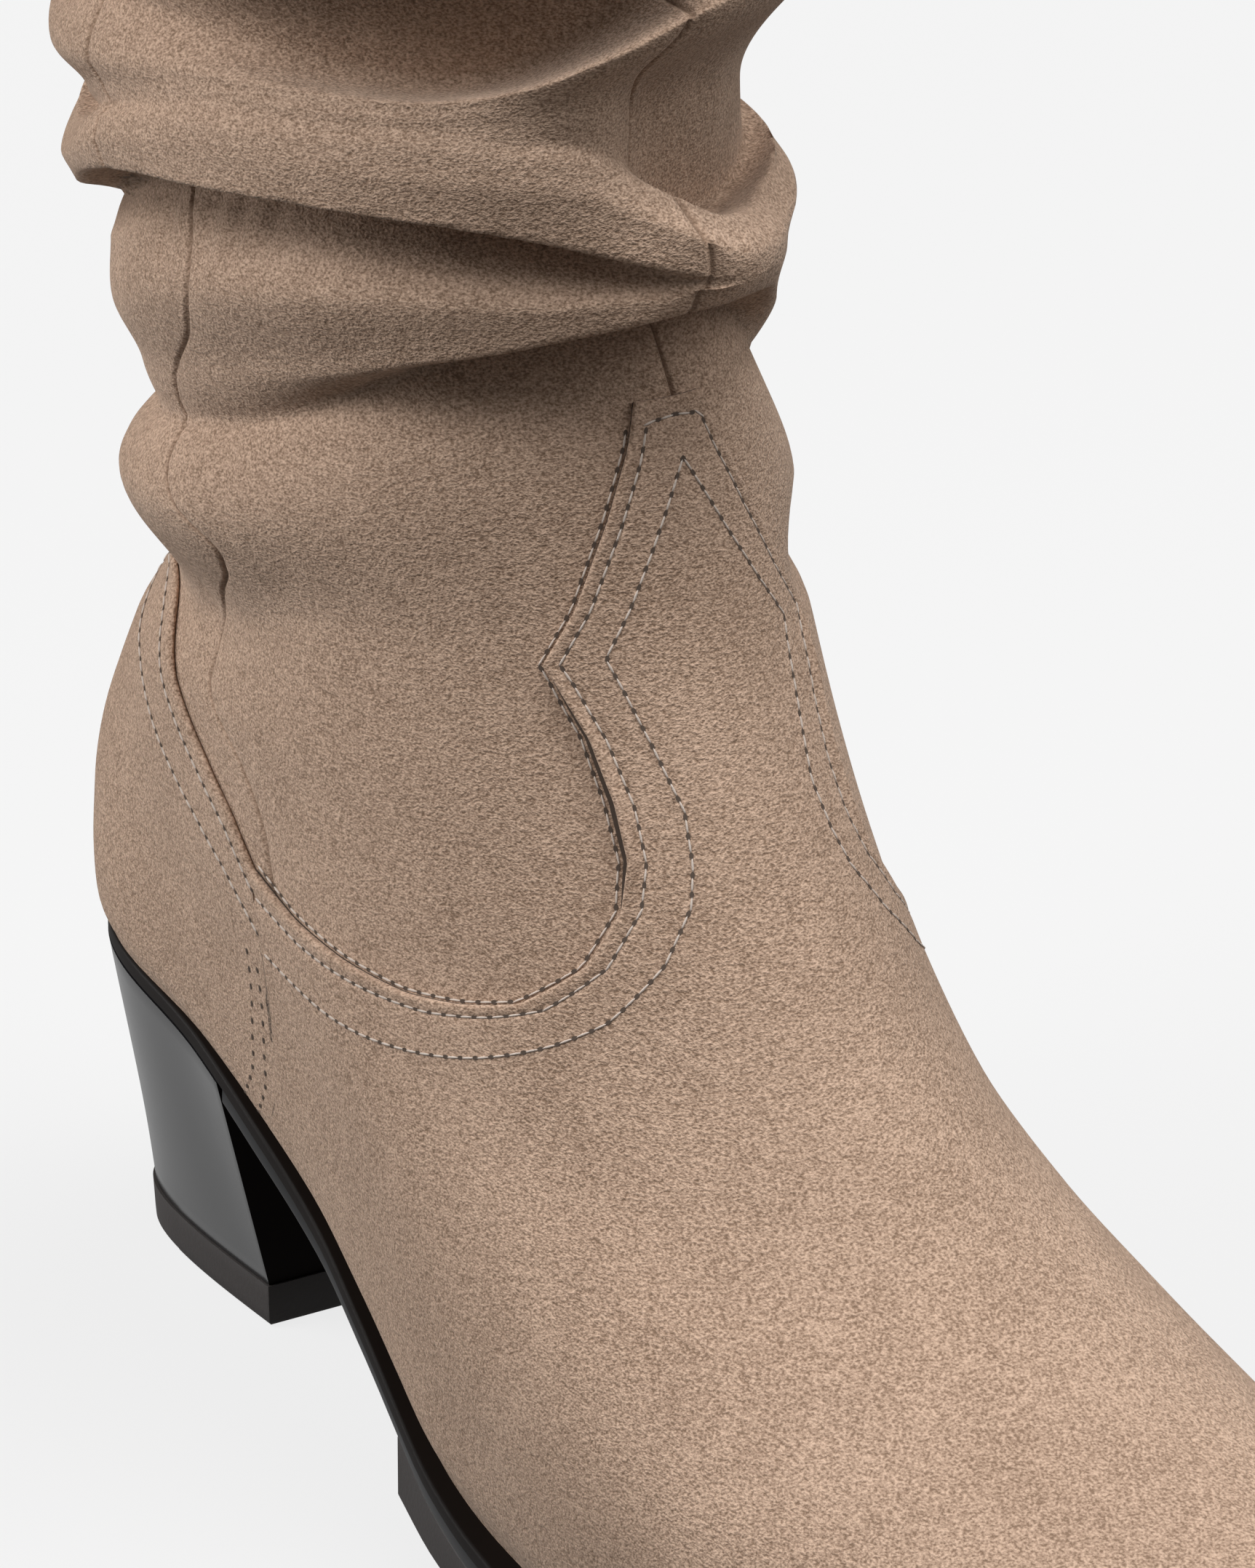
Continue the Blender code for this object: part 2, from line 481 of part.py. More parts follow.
def main():
    """Build every piece, then set the boot over the middle of its own floor print."""
    for old in list(bpy.data.objects):
        bpy.data.objects.remove(old)
    suede = surface_material("taupe suede", (0.36, 0.27, 0.20), 0.95)
    gloss = surface_material("gloss black", (0.012, 0.011, 0.011), 0.25)
    edge_black = surface_material("black edge", (0.015, 0.012, 0.010), 0.4)
    rubber = surface_material("dark rubber", (0.035, 0.029, 0.026), 0.7)
    lining = surface_material("insole leather", (0.50, 0.40, 0.30), 0.8)

    build_upper(suede)
    foot_front = np.concatenate((np.linspace(0, 60, 13), np.linspace(66, JOIN_LEAN[0][1] - JOIN_GAP, 10)))
    overlay("vamp", VAMP_EDGE, foot_front, 12, TONGUE_SPREAD, suede)
    foot_rear = np.linspace(JOIN_LEAN[0][1] + JOIN_GAP, 180, 10)
    counter_edge = [(COUNTER_EDGE[0][0] + JOIN_GAP * 2, COUNTER_EDGE[0][1]), *COUNTER_EDGE[1:]]
    overlay("counter", counter_edge, foot_rear, 9, NO_SPREAD, suede)

    step = 360 / COLUMNS
    right_round = np.concatenate((np.arange(0, 36, step / 2), np.arange(36, 126, step),
                                  np.arange(126, 181, step / 2)))
    welt_low = WELT_DROP + WELT_THICK
    plate("welt", right_round,
          ((WELT_LEDGE, lambda x: feather(x) - WELT_DROP),
           (WELT_LEDGE, lambda x: feather(x) - welt_low)), edge_black)
    sole_ledge = [(x, size - SOLE_INSET) for x, size in WELT_LEDGE]
    sole_top = welt_low + FIT_GAP
    rear = bearing_of(SOLE_REAR)
    front = np.append(right_round[right_round < rear - 1], rear)
    plate("outsole", front,
          ((sole_ledge, lambda x: feather(x) - sole_top),
           (sole_ledge, lambda x: feather(x) - sole_top - SOLE_THICK)), gloss)
    tread_top = sole_top + SOLE_THICK + FIT_GAP
    tread_ledge = [(x, size - TREAD_INSET + 0.6) for x, size in WELT_LEDGE]
    start = bearing_of(TREAD_START)
    ball = np.append(right_round[right_round < start - 1], start)
    plate("forefoot_tread", ball,
          ((tread_ledge, lambda x: np.maximum(feather(x) - tread_top, tread_floor(x) + 1.2)),
           (tread_ledge, tread_floor)), rubber)
    plate("insole", right_round,
          ((-INSOLE_INSET, lambda x: feather(x) + INSOLE_THICK),
           (-INSOLE_INSET, feather)), lining)
    build_heel(gloss, rubber)

    points = np.array([v.co for obj in bpy.data.objects for v in obj.data.vertices])
    middle = (points.min(axis=0) + points.max(axis=0)) / 2
    for obj in bpy.data.objects:
        for v in obj.data.vertices:
            v.co.x -= middle[0]
            v.co.y -= middle[1]
        obj.data.update()


main()
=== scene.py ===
"""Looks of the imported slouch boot: suede with its folds, seams and stitches, sole, heel and a stage.

Shoe sizes are millimetres on the last: x from heel to toe, y to the inside of the foot, z up from the
floor. A bearing of 0 is the front of the boot and 180 its back, and the outside of the foot is negative.
Loop numbers count up from the feather line, where suede meets sole, to the collar.
"""
import math

import bmesh
import bpy
import numpy as np
from bpy.props import FloatProperty, FloatVectorProperty, PointerProperty
from mathutils import Matrix, Vector


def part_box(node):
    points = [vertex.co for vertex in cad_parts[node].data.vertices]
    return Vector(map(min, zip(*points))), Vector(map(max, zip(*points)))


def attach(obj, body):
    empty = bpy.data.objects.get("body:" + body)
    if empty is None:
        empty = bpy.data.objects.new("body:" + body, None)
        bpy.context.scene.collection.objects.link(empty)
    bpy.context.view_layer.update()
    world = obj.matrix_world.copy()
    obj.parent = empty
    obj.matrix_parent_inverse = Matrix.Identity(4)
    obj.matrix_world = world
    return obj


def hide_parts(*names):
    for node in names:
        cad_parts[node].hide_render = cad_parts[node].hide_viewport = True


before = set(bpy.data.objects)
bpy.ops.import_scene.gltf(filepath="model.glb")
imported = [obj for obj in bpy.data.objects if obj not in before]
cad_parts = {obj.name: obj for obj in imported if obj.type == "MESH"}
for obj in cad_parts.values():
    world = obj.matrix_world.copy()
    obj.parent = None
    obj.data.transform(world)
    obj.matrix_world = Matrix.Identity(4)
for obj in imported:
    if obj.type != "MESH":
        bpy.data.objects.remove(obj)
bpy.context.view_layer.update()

bl_info = {
    "name": "Slouch boot looks",
    "version": (1, 0, 0),
    "blender": (4, 5, 0),
    "location": "3D View > Sidebar > Boot",
    "description": "Suede, stitching, sole, heel and stage for the packed boot",
    "category": "Object",
}

MM = 0.001
LIFT_LOW, LIFT_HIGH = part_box("top_lift")
LIFT_MIDDLE = (23.3, 0.0)    # middle of the top lift on the last
# From the frame's origin to the last's, level
SHIFT = np.zeros(3)
SHIFT[:2] = LIFT_MIDDLE - np.mean((LIFT_LOW, LIFT_HIGH), axis=0)[:2] / MM

# Loop bearings of the eight half widths below, measured from the back
WIDTH_BEARINGS = (0, 25, 50, 75, 100, 125, 150, 180)
LOOP_COLUMNS = ("back_x", "back_z", "front_x", "front_z", "sag",
                "w0", "w25", "w50", "w75", "w100", "w125", "w150", "w180", "waist_in", "inner_share")
LOOPS = (
    # feather, wall and toe box
    (-3.6, 48.0, 258.0, 13.0, 1.00, 57.0, 57.0, 39.2, 34.6, 42.6, 46.5, 42.0, 39.0, 5.0, 0.98),
    (-5.6, 51.0, 259.0, 18.0, 0.90, 58.5, 58.5, 41.2, 37.2, 45.0, 49.0, 44.5, 41.0, 4.5, 0.97),
    (-6.8, 57.0, 254.0, 26.5, 0.80, 57.6, 58.0, 41.8, 38.0, 45.0, 49.5, 45.5, 42.0, 4.0, 0.95),
    (-7.4, 63.0, 236.0, 34.0, 0.64, 55.5, 55.5, 41.6, 37.6, 43.6, 47.5, 45.5, 43.0, 3.0, 0.92),
    (-7.2, 69.0, 215.0, 40.0, 0.44, 53.0, 53.0, 40.8, 37.0, 41.6, 44.5, 44.0, 42.0, 2.0, 0.90),
    (-6.0, 75.5, 192.0, 46.5, 0.26, 49.5, 49.5, 40.0, 36.6, 39.6, 41.5, 41.5, 40.0, 1.0, 0.88),
    (-3.6, 82.5, 168.0, 55.5, 0.12, 46.0, 45.0, 39.0, 36.2, 38.0, 39.0, 39.0, 38.0, 0.5, 0.88),
    # instep and ankle
    (0.2, 90.0, 149.5, 68.5, 0.04, 42.5, 41.5, 38.0, 36.0, 37.0, 37.5, 37.0, 36.5, 0.0, 0.89),
    (5.0, 98.0, 136.5, 82.5, 0.00, 40.0, 39.0, 37.0, 35.8, 36.2, 36.4, 36.0, 35.5, 0.0, 0.90),
    (9.0, 106.0, 127.0, 95.5, 0.00, 38.0, 37.5, 36.4, 35.6, 35.8, 35.8, 35.2, 34.6, 0.0, 0.91),
    (11.0, 114.0, 119.0, 108.5, 0.00, 37.4, 37.2, 36.4, 35.8, 35.6, 35.6, 35.2, 34.6, 0.0, 0.92),
    (11.0, 123.0, 112.8, 121.0, 0.00, 38.0, 38.0, 37.2, 36.4, 35.8, 35.8, 35.4, 35.0, 0.0, 0.92),
    # slouched shaft
    (8.6, 134.0, 108.6, 134.0, 0.00, 39.4, 39.4, 38.4, 37.2, 36.4, 36.2, 35.8, 35.4, 0.0, 0.92),
    (5.0, 147.0, 106.4, 147.0, 0.00, 41.2, 41.2, 39.8, 38.2, 37.2, 37.0, 36.6, 36.2, 0.0, 0.92),
    (1.0, 162.0, 105.0, 162.0, 0.00, 43.0, 43.0, 41.4, 39.6, 38.6, 38.4, 38.0, 37.6, 0.0, 0.92),
    (-2.6, 180.0, 104.6, 180.0, 0.00, 44.6, 44.6, 43.0, 41.2, 40.2, 40.0, 39.6, 39.4, 0.0, 0.93),
    (-5.0, 200.0, 105.0, 200.0, 0.00, 45.6, 45.6, 44.2, 42.6, 41.6, 41.4, 41.2, 41.0, 0.0, 0.94),
    (-6.4, 224.0, 106.0, 224.0, 0.00, 46.0, 46.0, 45.0, 44.0, 43.2, 43.0, 42.8, 42.6, 0.0, 0.96),
    (-7.0, 250.0, 107.0, 250.0, 0.00, 46.0, 46.0, 45.4, 44.8, 44.2, 44.0, 44.0, 44.0, 0.0, 0.98),
    (-7.2, 276.0, 107.8, 276.0, 0.00, 46.0, 46.0, 45.6, 45.2, 44.8, 44.6, 44.6, 44.6, 0.0, 1.00),
)
WAIST_BEARING = 66.0         # from the back, where the inner waist is deepest
WAIST_SPREAD = 24.0
INNER_FROM = 0.9             # radians from the back where the inside starts to take its own width
INNER_RUN = 0.7              # radians over which it does
LOOP_STEP = 0.02             # loops and degrees to each side that a normal is taken over
BEARING_STEP = 0.4
MERGE_LENGTH = 2e-6          # metres, under which two points of a grid become one

# Height of the feather line along the foot: x, z
FEATHER = ((-12, 49.7), (-2, 49.2), (20, 47.5), (47, 42.8), (60, 37.9), (74, 31.1), (88, 23.9), (110, 14.2),
           (133, 9.2), (160, 8.3), (190, 8.5), (220, 9.6), (245, 11.6), (262, 13.6), (276, 15.0))
# How far the suede stands in beside the feather line: x, size
FEATHER_IN = ((-12, 0.0), (58, 0.0), (77, 1.2), (88, 0.8), (101, 0.0), (112, -0.5), (119, -0.1), (126, 0.6),
              (132, 1.3), (150, 1.6), (185, 0.9), (220, 0.0), (276, 0.0))
# Its share up the wall: loop number, share
FEATHER_FADE = ((0, 1.0), (1, 0.9), (2, 0.45), (3, 0.1), (4, 0.0))
# Swing of the centre line to the inside of the foot: x, y
SWING = ((-12, 0.0), (60, 0.0), (100, 0.2), (140, 1.2), (180, 3.2), (220, 6.0), (258, 9.0), (276, 10.0))

# Crest, lip and crease lines of the slouched shaft, from the lowest to the highest. The first number tells
# how sharp a line is, from 0 for a round crest to 2 for a fold pressed flat. The second tells how far a
# full fold hangs down there, and below zero how far a full hollow sinks. Then bearing, height and push.
FOLD_LINES = (
    ("foot of the shaft", 0.0, 0.0, (
        (-180, 88, 0.0), (-60, 96, 0.0), (0, 102, 0.0), (40, 110, 0.0), (60, 111, -0.3), (85, 104, 0.0),
        (120, 92, 0.0))),
    ("ankle crease", 0.4, 0.0, (
        (-180, 100, -1.0), (-150, 99, -1.5), (-122, 101, -2.2), (-99, 107, -2.0), (-75, 114, -1.3),
        (-50, 117, -0.5), (-20, 116, 0.0), (20, 116, -0.3), (40, 118, -1.2), (58, 119.5, -3.0),
        (76, 118, -2.0), (100, 112, -1.0), (130, 106, -1.0))),
    ("ankle roll", 0.0, 1.5, (
        (-180, 118, 3.5), (-150, 118, 4.8), (-122, 118.5, 6.0), (-99, 122, 4.6), (-75, 127, 2.4),
        (-50, 131, 0.8), (-20, 132, 0.0), (20, 132, 0.0), (40, 129, 0.6), (58, 126, 1.2), (90, 126, 2.5),
        (130, 121, 3.0))),
    ("lower crease", 1.6, 0.0, (
        (-180, 125, -1.5), (-150, 125, -1.5), (-122, 127, -0.8), (-99, 132, -1.4), (-75, 139, -2.4),
        (-58, 145.5, -3.6), (-45, 150, -4.6), (-31, 154, -6.0), (-17, 157, -6.4), (0, 158.5, -5.0),
        (15, 157, -4.5), (35, 149, -3.8), (58, 139, -3.5), (90, 134, -3.0), (130, 129, -2.0))),
    ("lip of the second fold", 0.2, 3.0, (
        (-180, 132, 0.0), (-150, 131, 0.0), (-122, 133, 0.5), (-99, 138, 0.3), (-75, 145, 1.0),
        (-58, 149, 2.2), (-45, 152.5, 3.7), (-31, 155.3, 4.8), (-17, 158.0, 6.0), (0, 160.5, 8.6),
        (15, 160, 7.0), (25, 157, 3.6), (35, 153, 1.4), (50, 148, 0.2), (70, 142, 0.0), (130, 135, 0.0))),
    ("second fold", 0.0, 1.5, (
        (-180, 142, 2.0), (-150, 140, 2.0), (-122, 141, 2.5), (-99, 148, 2.0), (-75, 155, 3.2),
        (-56, 159, 4.4), (-38, 160.5, 5.0), (-25, 161.2, 5.6), (-11, 162, 7.0), (-2, 162.5, 9.2),
        (6, 162.5, 10.2), (15, 162, 8.2), (25, 161, 4.8), (35, 160, 2.8), (50, 159, 1.2), (70, 156, 0.6),
        (90, 151, 1.5), (130, 144, 3.0))),
    ("slope under the big fold", 1.0, 1.8, (
        (-180, 147, 1.0), (-150, 146, 1.0), (-122, 148.5, 1.0), (-108, 154, 0.0), (-92, 160.5, -1.2),
        (-75, 165, -1.4), (-56, 167.5, -1.2), (-40, 168, -1.0), (-25, 167, 0.0), (-16, 165.8, 2.0),
        (-9, 164.6, 5.2), (-2, 163.6, 9.6), (6, 163.1, 10.3), (15, 162.5, 8.3), (25, 161.5, 4.85),
        (35, 160.8, 2.85), (50, 159.8, 1.25), (70, 157, 0.7), (90, 153, 1.4), (130, 147, 1.5))),
    ("crease under the big fold", 1.6, 2.4, (
        (-180, 152, -1.0), (-150, 151, -1.5), (-122, 154, -2.5), (-108, 160.5, -4.2), (-92, 166.5, -6.0),
        (-75, 170.5, -7.5), (-56, 173, -8.5), (-40, 173, -8.0), (-25, 170.5, -5.0), (-16, 168, -0.5),
        (-9, 166, 4.2), (-2, 164.5, 9.0), (6, 163.6, 10.4), (15, 163, 8.4), (25, 162, 4.9),
        (35, 161.5, 2.9), (50, 160.5, 1.3), (70, 158, 0.8), (90, 155, 1.2), (130, 150, 0.0))),
    ("lip of the big fold", 0.2, 3.2, (
        (-180, 154.5, 1.0), (-150, 153.5, 2.0), (-122, 156, 3.7), (-108, 162, 4.8), (-92, 167, 5.8),
        (-75, 170.2, 7.0), (-56, 172.2, 7.3), (-40, 172.2, 7.3), (-25, 170.6, 7.0), (-16, 168.8, 7.2),
        (-9, 167.2, 8.4), (-2, 165.6, 10.0), (6, 164.6, 10.5), (15, 164, 8.5), (25, 163, 5.0),
        (35, 162.5, 3.0), (50, 161.5, 1.4), (70, 159, 0.9), (90, 156.5, 1.5), (130, 152.5, 1.0))),
    ("big fold", 0.0, 1.5, (
        (-180, 162, 3.0), (-150, 159, 4.0), (-122, 159.5, 5.0), (-99, 169, 5.8), (-75, 175, 6.6),
        (-56, 177, 7.0), (-38, 177.5, 7.0), (-25, 177, 6.8), (-16, 175.5, 6.4), (-9, 173, 7.2),
        (-2, 170.5, 9.6), (6, 167, 10.6), (15, 166, 8.6), (25, 165.5, 5.4), (35, 165, 3.8),
        (50, 164.5, 2.4), (70, 162.5, 1.8), (90, 159, 2.5), (130, 157, 3.0))),
    ("crown of the front loop", 0.3, 0.0, (
        (-180, 166, 1.5), (-150, 164, 2.0), (-122, 164, 2.5), (-99, 172, 4.5), (-75, 178.3, 6.0),
        (-56, 180, 6.1), (-38, 180.6, 6.1), (-25, 180.5, 5.8), (-16, 179.5, 4.8), (-9, 177, 4.0),
        (-2, 174.2, 4.2), (6, 170.8, 5.5), (15, 169.6, 3.6), (25, 169.3, 1.2), (35, 168.8, 0.2),
        (50, 167.8, 0.0), (70, 165.8, 0.4), (90, 163.5, 1.0), (130, 162.5, 1.8))),
    ("front hollow", 1.2, -6.0, (
        (-180, 168, -1.0), (-150, 166, -1.2), (-122, 165, -1.5), (-99, 173, 2.5), (-75, 179.5, 5.2),
        (-56, 181.5, 5.4), (-38, 182.5, 5.4), (-25, 182.5, 4.6), (-16, 181.5, 2.6), (-9, 178.5, -0.5),
        (-2, 173, -4.5), (6, 168.5, -6.5), (15, 166, -7.5), (35, 165.0, -6.5), (58, 166.5, -3.4),
        (75, 168, -2.4), (90, 168.5, -1.6), (130, 168, -1.2))),
    ("neck of the shaft", 0.0, 0.0, (
        (-180, 171, 0.5), (-150, 169, 1.0), (-122, 168, 0.5), (-99, 175, 3.0), (-75, 181.5, 4.2),
        (-56, 183.5, 4.4), (-38, 184.5, 4.4), (-25, 186, 4.2), (-16, 186, 3.0), (-9, 184.5, -0.5),
        (-2, 182, -5.0), (6, 181, -6.5), (15, 180.5, -7.0), (35, 178.5, -6.0), (58, 175, -4.0),
        (90, 173, -1.5), (130, 172, -0.5))),
    ("upper branch", 0.0, 0.0, (
        (-180, 177, 3.0), (-150, 175, 3.5), (-122, 174, 4.0), (-99, 178.5, 4.0), (-75, 183.5, 3.6),
        (-56, 185.5, 3.4), (-38, 187, 3.6), (-25, 189.5, 4.4), (-12, 194, 6.0), (0, 198, 7.0),
        (15, 200, 7.0), (35, 198, 5.0), (58, 192, 2.5), (90, 187, 3.0), (130, 181, 3.5))),
    ("side hollow", 0.8, -5.0, (
        (-180, 186, -1.0), (-150, 185, -1.2), (-122, 184, -1.2), (-99, 187, -0.5), (-84, 188, -1.5),
        (-70, 187.5, -3.5), (-56, 186, -6.5), (-38, 185.5, -8.5), (-25, 188, -9.0), (-12, 193, -8.0),
        (0, 199, -5.0), (20, 205, -3.0), (58, 202, -2.5), (90, 198, -2.0), (130, 192, -1.8))),
    ("bowl", 1.0, 0.0, (
        (-180, 190, 0.5), (-150, 189, 0.5), (-122, 189, 1.5), (-99, 192.5, 1.5), (-84, 195, -0.5),
        (-70, 198, -4.0), (-56, 201, -7.0), (-38, 203.5, -9.5), (-25, 205.5, -10.0), (-12, 208, -8.5),
        (0, 210, -5.0), (20, 211, -1.0), (58, 209, 0.0), (90, 204, 0.0), (130, 198, 0.5))),
    ("lip of the third fold", 0.2, 3.0, (
        (-180, 192.5, 1.2), (-150, 191.5, 1.5), (-122, 191, 3.0), (-99, 194.5, 3.5), (-84, 197, 3.8),
        (-70, 199.5, 4.4), (-56, 202, 5.0), (-38, 204, 6.0), (-25, 205.5, 6.5), (-12, 207.5, 6.5),
        (0, 209.5, 5.5), (20, 212, 3.0), (58, 211, 1.0), (90, 206, 0.8), (130, 200, 1.0))),
    ("third fold", 0.0, 1.5, (
        (-180, 198, 3.0), (-135, 197.5, 4.0), (-90, 204, 5.0), (-40, 212, 6.5), (-12, 215, 6.5),
        (0, 217, 5.5), (50, 219, 3.5), (120, 206, 3.0))),
    ("third trough", 1.0, 0.0, (
        (-180, 209, -2.0), (-120, 211, -3.0), (-60, 220, -3.0), (0, 229, -3.5), (60, 229, -3.0),
        (120, 218, -2.5))),
    ("fourth fold", 0.0, 1.5, (
        (-180, 224, 4.0), (-110, 228, 3.5), (-40, 234, 3.0), (20, 241, 4.0), (80, 239, 4.0),
        (130, 229, 3.5))),
    ("top trough", 0.4, 0.0, ((-180, 246, -2.0), (-90, 245, -2.5), (0, 254, -2.0), (90, 251, -2.0))),
    ("collar", 0.0, 0.0, ((-180, 274, 0.0), (0, 274, 0.0))),
)
FULL_FOLD = 5.0              # push at which a fold hangs down fully
LINE_GAP = 0.8               # least height between two lines
LINING_SHARE = 0.7           # how much of a crest the lining follows
LINING_REACH = (-2.5, 0.0, 2.5, 5.0, 7.5)
# Puckers beside the seams: bearing, height, half width in degrees, half height, push
PUCKERS = ((-84.0, 163.0, 1.8, 6.0, -0.7), (-77.0, 164.0, 1.6, 5.0, -0.7), (-70.0, 165.5, 1.5, 4.0, -0.6),
           (-96.0, 158.0, 2.0, 5.0, -0.7), (-88.0, 128.0, 2.2, 6.0, -0.5), (-112.0, 104.0, 2.4, 6.0, -0.6),
           (-6.0, 159.0, 1.6, 3.0, -0.6), (9.0, 151.0, 1.8, 4.0, -0.5), (84.0, 163.0, 1.8, 6.0, -0.7),
           (96.0, 158.0, 2.0, 5.0, -0.7))

# Vamp edge, and the inner stitch row that follows it: bearing and loop of each, outside of the foot
VAMP_LINES = (
    (0.0, 12.95, 0.0, 12.4),
    (8.2, 12.95, 1.5, 12.27),
    (10.8, 12.55, 4.0, 12.05),
    (16.8, 11.9, 9.0, 11.62),
    (25.5, 11.1, 15.5, 11.1),
    (33.5, 10.55, 22.0, 10.65),
    (32.0, 10.4, 20.5, 10.4),
    (28.5, 9.9, 17.8, 9.85),
    (27.4, 9.35, 15.5, 9.3),
    (28.0, 8.85, 17.0, 8.85),
    (31.5, 8.4, 19.5, 8.5),
    (40.0, 7.85, 27.0, 8.0),
    (52.0, 7.35, 39.0, 7.45),
    (61.0, 7.1, 49.0, 7.1),
    (71.0, 6.85, 61.0, 6.7),
    (82.0, 6.65, 75.0, 6.25),
    (92.0, 6.5, 90.0, 5.75),
    (100.0, 6.5, 104.0, 5.3),
)
# Top edge of the counter: bearing, loop
COUNTER_EDGE = ((99.7, 6.48), (100.1, 6.5), (104.0, 6.95), (110.0, 7.3), (120.0, 7.75), (130.0, 8.3),
                (145.0, 8.9), (162.0, 9.25), (180.0, 9.35))
# Vamp rows from its inner stitch row over the edge to its back: share of the band, place from back to face
VAMP_BAND = (
    (0.97, 1.0), (0.93, 1.0), (0.86, 1.0), (0.76, 1.0), (0.66, 1.0), (0.56, 1.0), (0.46, 1.0), (0.38, 1.0),
    (0.34, 1.0), (0.31, 1.0), (0.28, 1.0), (0.25, 1.0), (0.22, 1.0), (0.16, 1.0), (0.10, 1.0), (0.06, 0.98),
    (0.03, 0.92), (0.012, 0.80), (0.0, 0.58), (0.0, 0.35), (0.006, 0.15), (0.03, 0.0), (0.25, 0.0),
    (1.0, 0.0))
# Counter rows near its edge: share of the height, place from back to face
COUNTER_RIM = ((0.965, 1.0), (0.98, 1.0), (0.99, 0.97), (0.996, 0.86), (1.0, 0.60), (1.0, 0.35),
               (0.997, 0.1), (0.985, 0.0))
# Spread of the vamp's grid lines into the tongue: loop number, factor on the bearing
TONGUE_SPREAD = ((0, 1.0), (9.3, 1.0), (10.65, 1.45), (13, 1.45))
JOIN_BEARING = 121.0         # where vamp meets counter on the feather line
COUNTER_LAP = 0.4            # degrees that the counter runs on under the vamp
COUNTER_SINK = 0.03          # how far the counter lies under the vamp there
WALL_BEND = 1.15             # how the grid of vamp and counter bends from the feather line to the edge
ROW_CROWDING = 1.35          # how the vamp's rows crowd at the feather line
TUCK = 0.4                   # how far vamp and counter reach under the feather line
GAPE_MIDDLE = 7.9            # row of the vamp's lines where its edge stands open most
GAPE_REACH = 1.9             # rows over which it does
GAPE_ROLL = 0.14             # share of the band that lifts with it
GAPE_SHARE = 0.085           # width of the painted gap shadow there, as a share of the band
GAPE_TUCK = 0.05             # how far the painted gap shadow runs on under the edge
GAPE_FLOOR = 0.06            # how far the painted gap shadow lies over the shaft

# Stitch rows
ROW_ONE = -0.07              # first row of the vamp, on the shaft, as a share of the band
ROW_ONE_FROM = 1.7           # row of the vamp's lines where it starts
ROW_TWO = 0.28               # second row
CHANNEL_REACH = 0.06         # half width of the dip along it, as a share of the band
COUNTER_ROWS = (0.965, 0.86)    # rows of the counter, as shares of its height
JOIN_ROWS = (1.2, 2.9)       # degrees from the join to its two rows of needle holes
JOIN_SPAN = (0.06, 0.8)      # where these start and end, as shares of the join
STITCH_REACH = 0.4           # path to each side of a stitch that gives its direction
THREAD_LIFT = 0.04           # over the suede
# Dark discs of painted shade over the needle holes: their lift and stretch
HOLE_LIFT = 0.07
HOLE_STRETCH = (1.5, 0.9)    # along and across the row

# Side seam of the shaft: loop number, bearing
SIDE_SEAM = ((6.5, -97.0), (7.4, -97.5), (7.75, -101.5), (7.95, -106.5), (8.7, -110.0), (9.6, -105.0),
             (10.4, -95.0), (10.85, -93.5), (11.15, -99.5), (11.4, -104.0),
             (12.2, -103.0), (13.0, -91.0), (13.7, -88.0), (14.1, -92.0), (14.5, -100.0), (15.0, -103.0),
             (16.0, -106.0), (19.0, -106.0))
# Seam on the inside of the foot: loop number, bearing
INNER_SEAM = ((6.5, 97.0), (9.0, 100.0), (12.0, 101.0), (16.0, 103.0), (19.0, 104.0))
# Front seam, above the tongue: loop number, bearing
FRONT_SEAM = ((6.5, 0.0), (13.4, 0.0), (14.0, -2.5), (14.4, 0.0), (14.7, -1.5), (14.95, -5.0), (15.1, -4.0),
              (15.5, -5.5), (15.8, -2.0), (16.2, 0.0), (19.0, 0.0))
FRONT_REACH = 16.0           # degrees over which the grid bends to the front seam
SEAM_COLUMN = 100.0          # grid column that a side seam follows
SEAMS = (-SEAM_COLUMN, 0.0, SEAM_COLUMN)
SEAM_NEAR = (0.35, 0.7, 1.05, 1.4, 1.9)    # degrees from a seam to the columns close beside it
SEAM_CLEAR = 2.2             # degrees beside a seam without even columns
COLUMN_STEP = 1.5            # degrees from one even column to the next
SEAM_REACH = 24.0            # degrees over which the grid bends to the seam
SEAM_SHADE = 0.45            # degrees of painted seam shadow along the seams
SEAM_LINE = 0.32             # half width of a seam's line
SEAM_DIP = 2.2               # half width of the shallow dip that it lies in
SEAM_DIP_SHARE = 0.35        # depth of the dip
DEGREE_LENGTH = 0.72         # millimetres to a degree round the shaft
# Rows of the upper: loop numbers up its foot, then first and last height up the back, and step
FOOT_SPAN = (0.0, 5.0, 0.5)
SHAFT_SPANS = ((76.0, 130.0, 1.1), (130.0, 204.0, 0.6), (204.0, 276.0, 1.8), (276.0, 277.0, 1.8))
# Rows down the lining, and the loop where its foot starts
LINING_SPANS = ((276.0, 216.0, -4.0), (216.0, 90.0, -2.5))
LINING_FOOT = 6.5

# Bearings round the sole, in spans: first, last, count
SOLE_SPANS = ((0, 40, 61), (41.5, 126, 70), (127, 180, 61))
SOLE_CLEAR = 0.5             # degrees kept free before the end of a sole piece
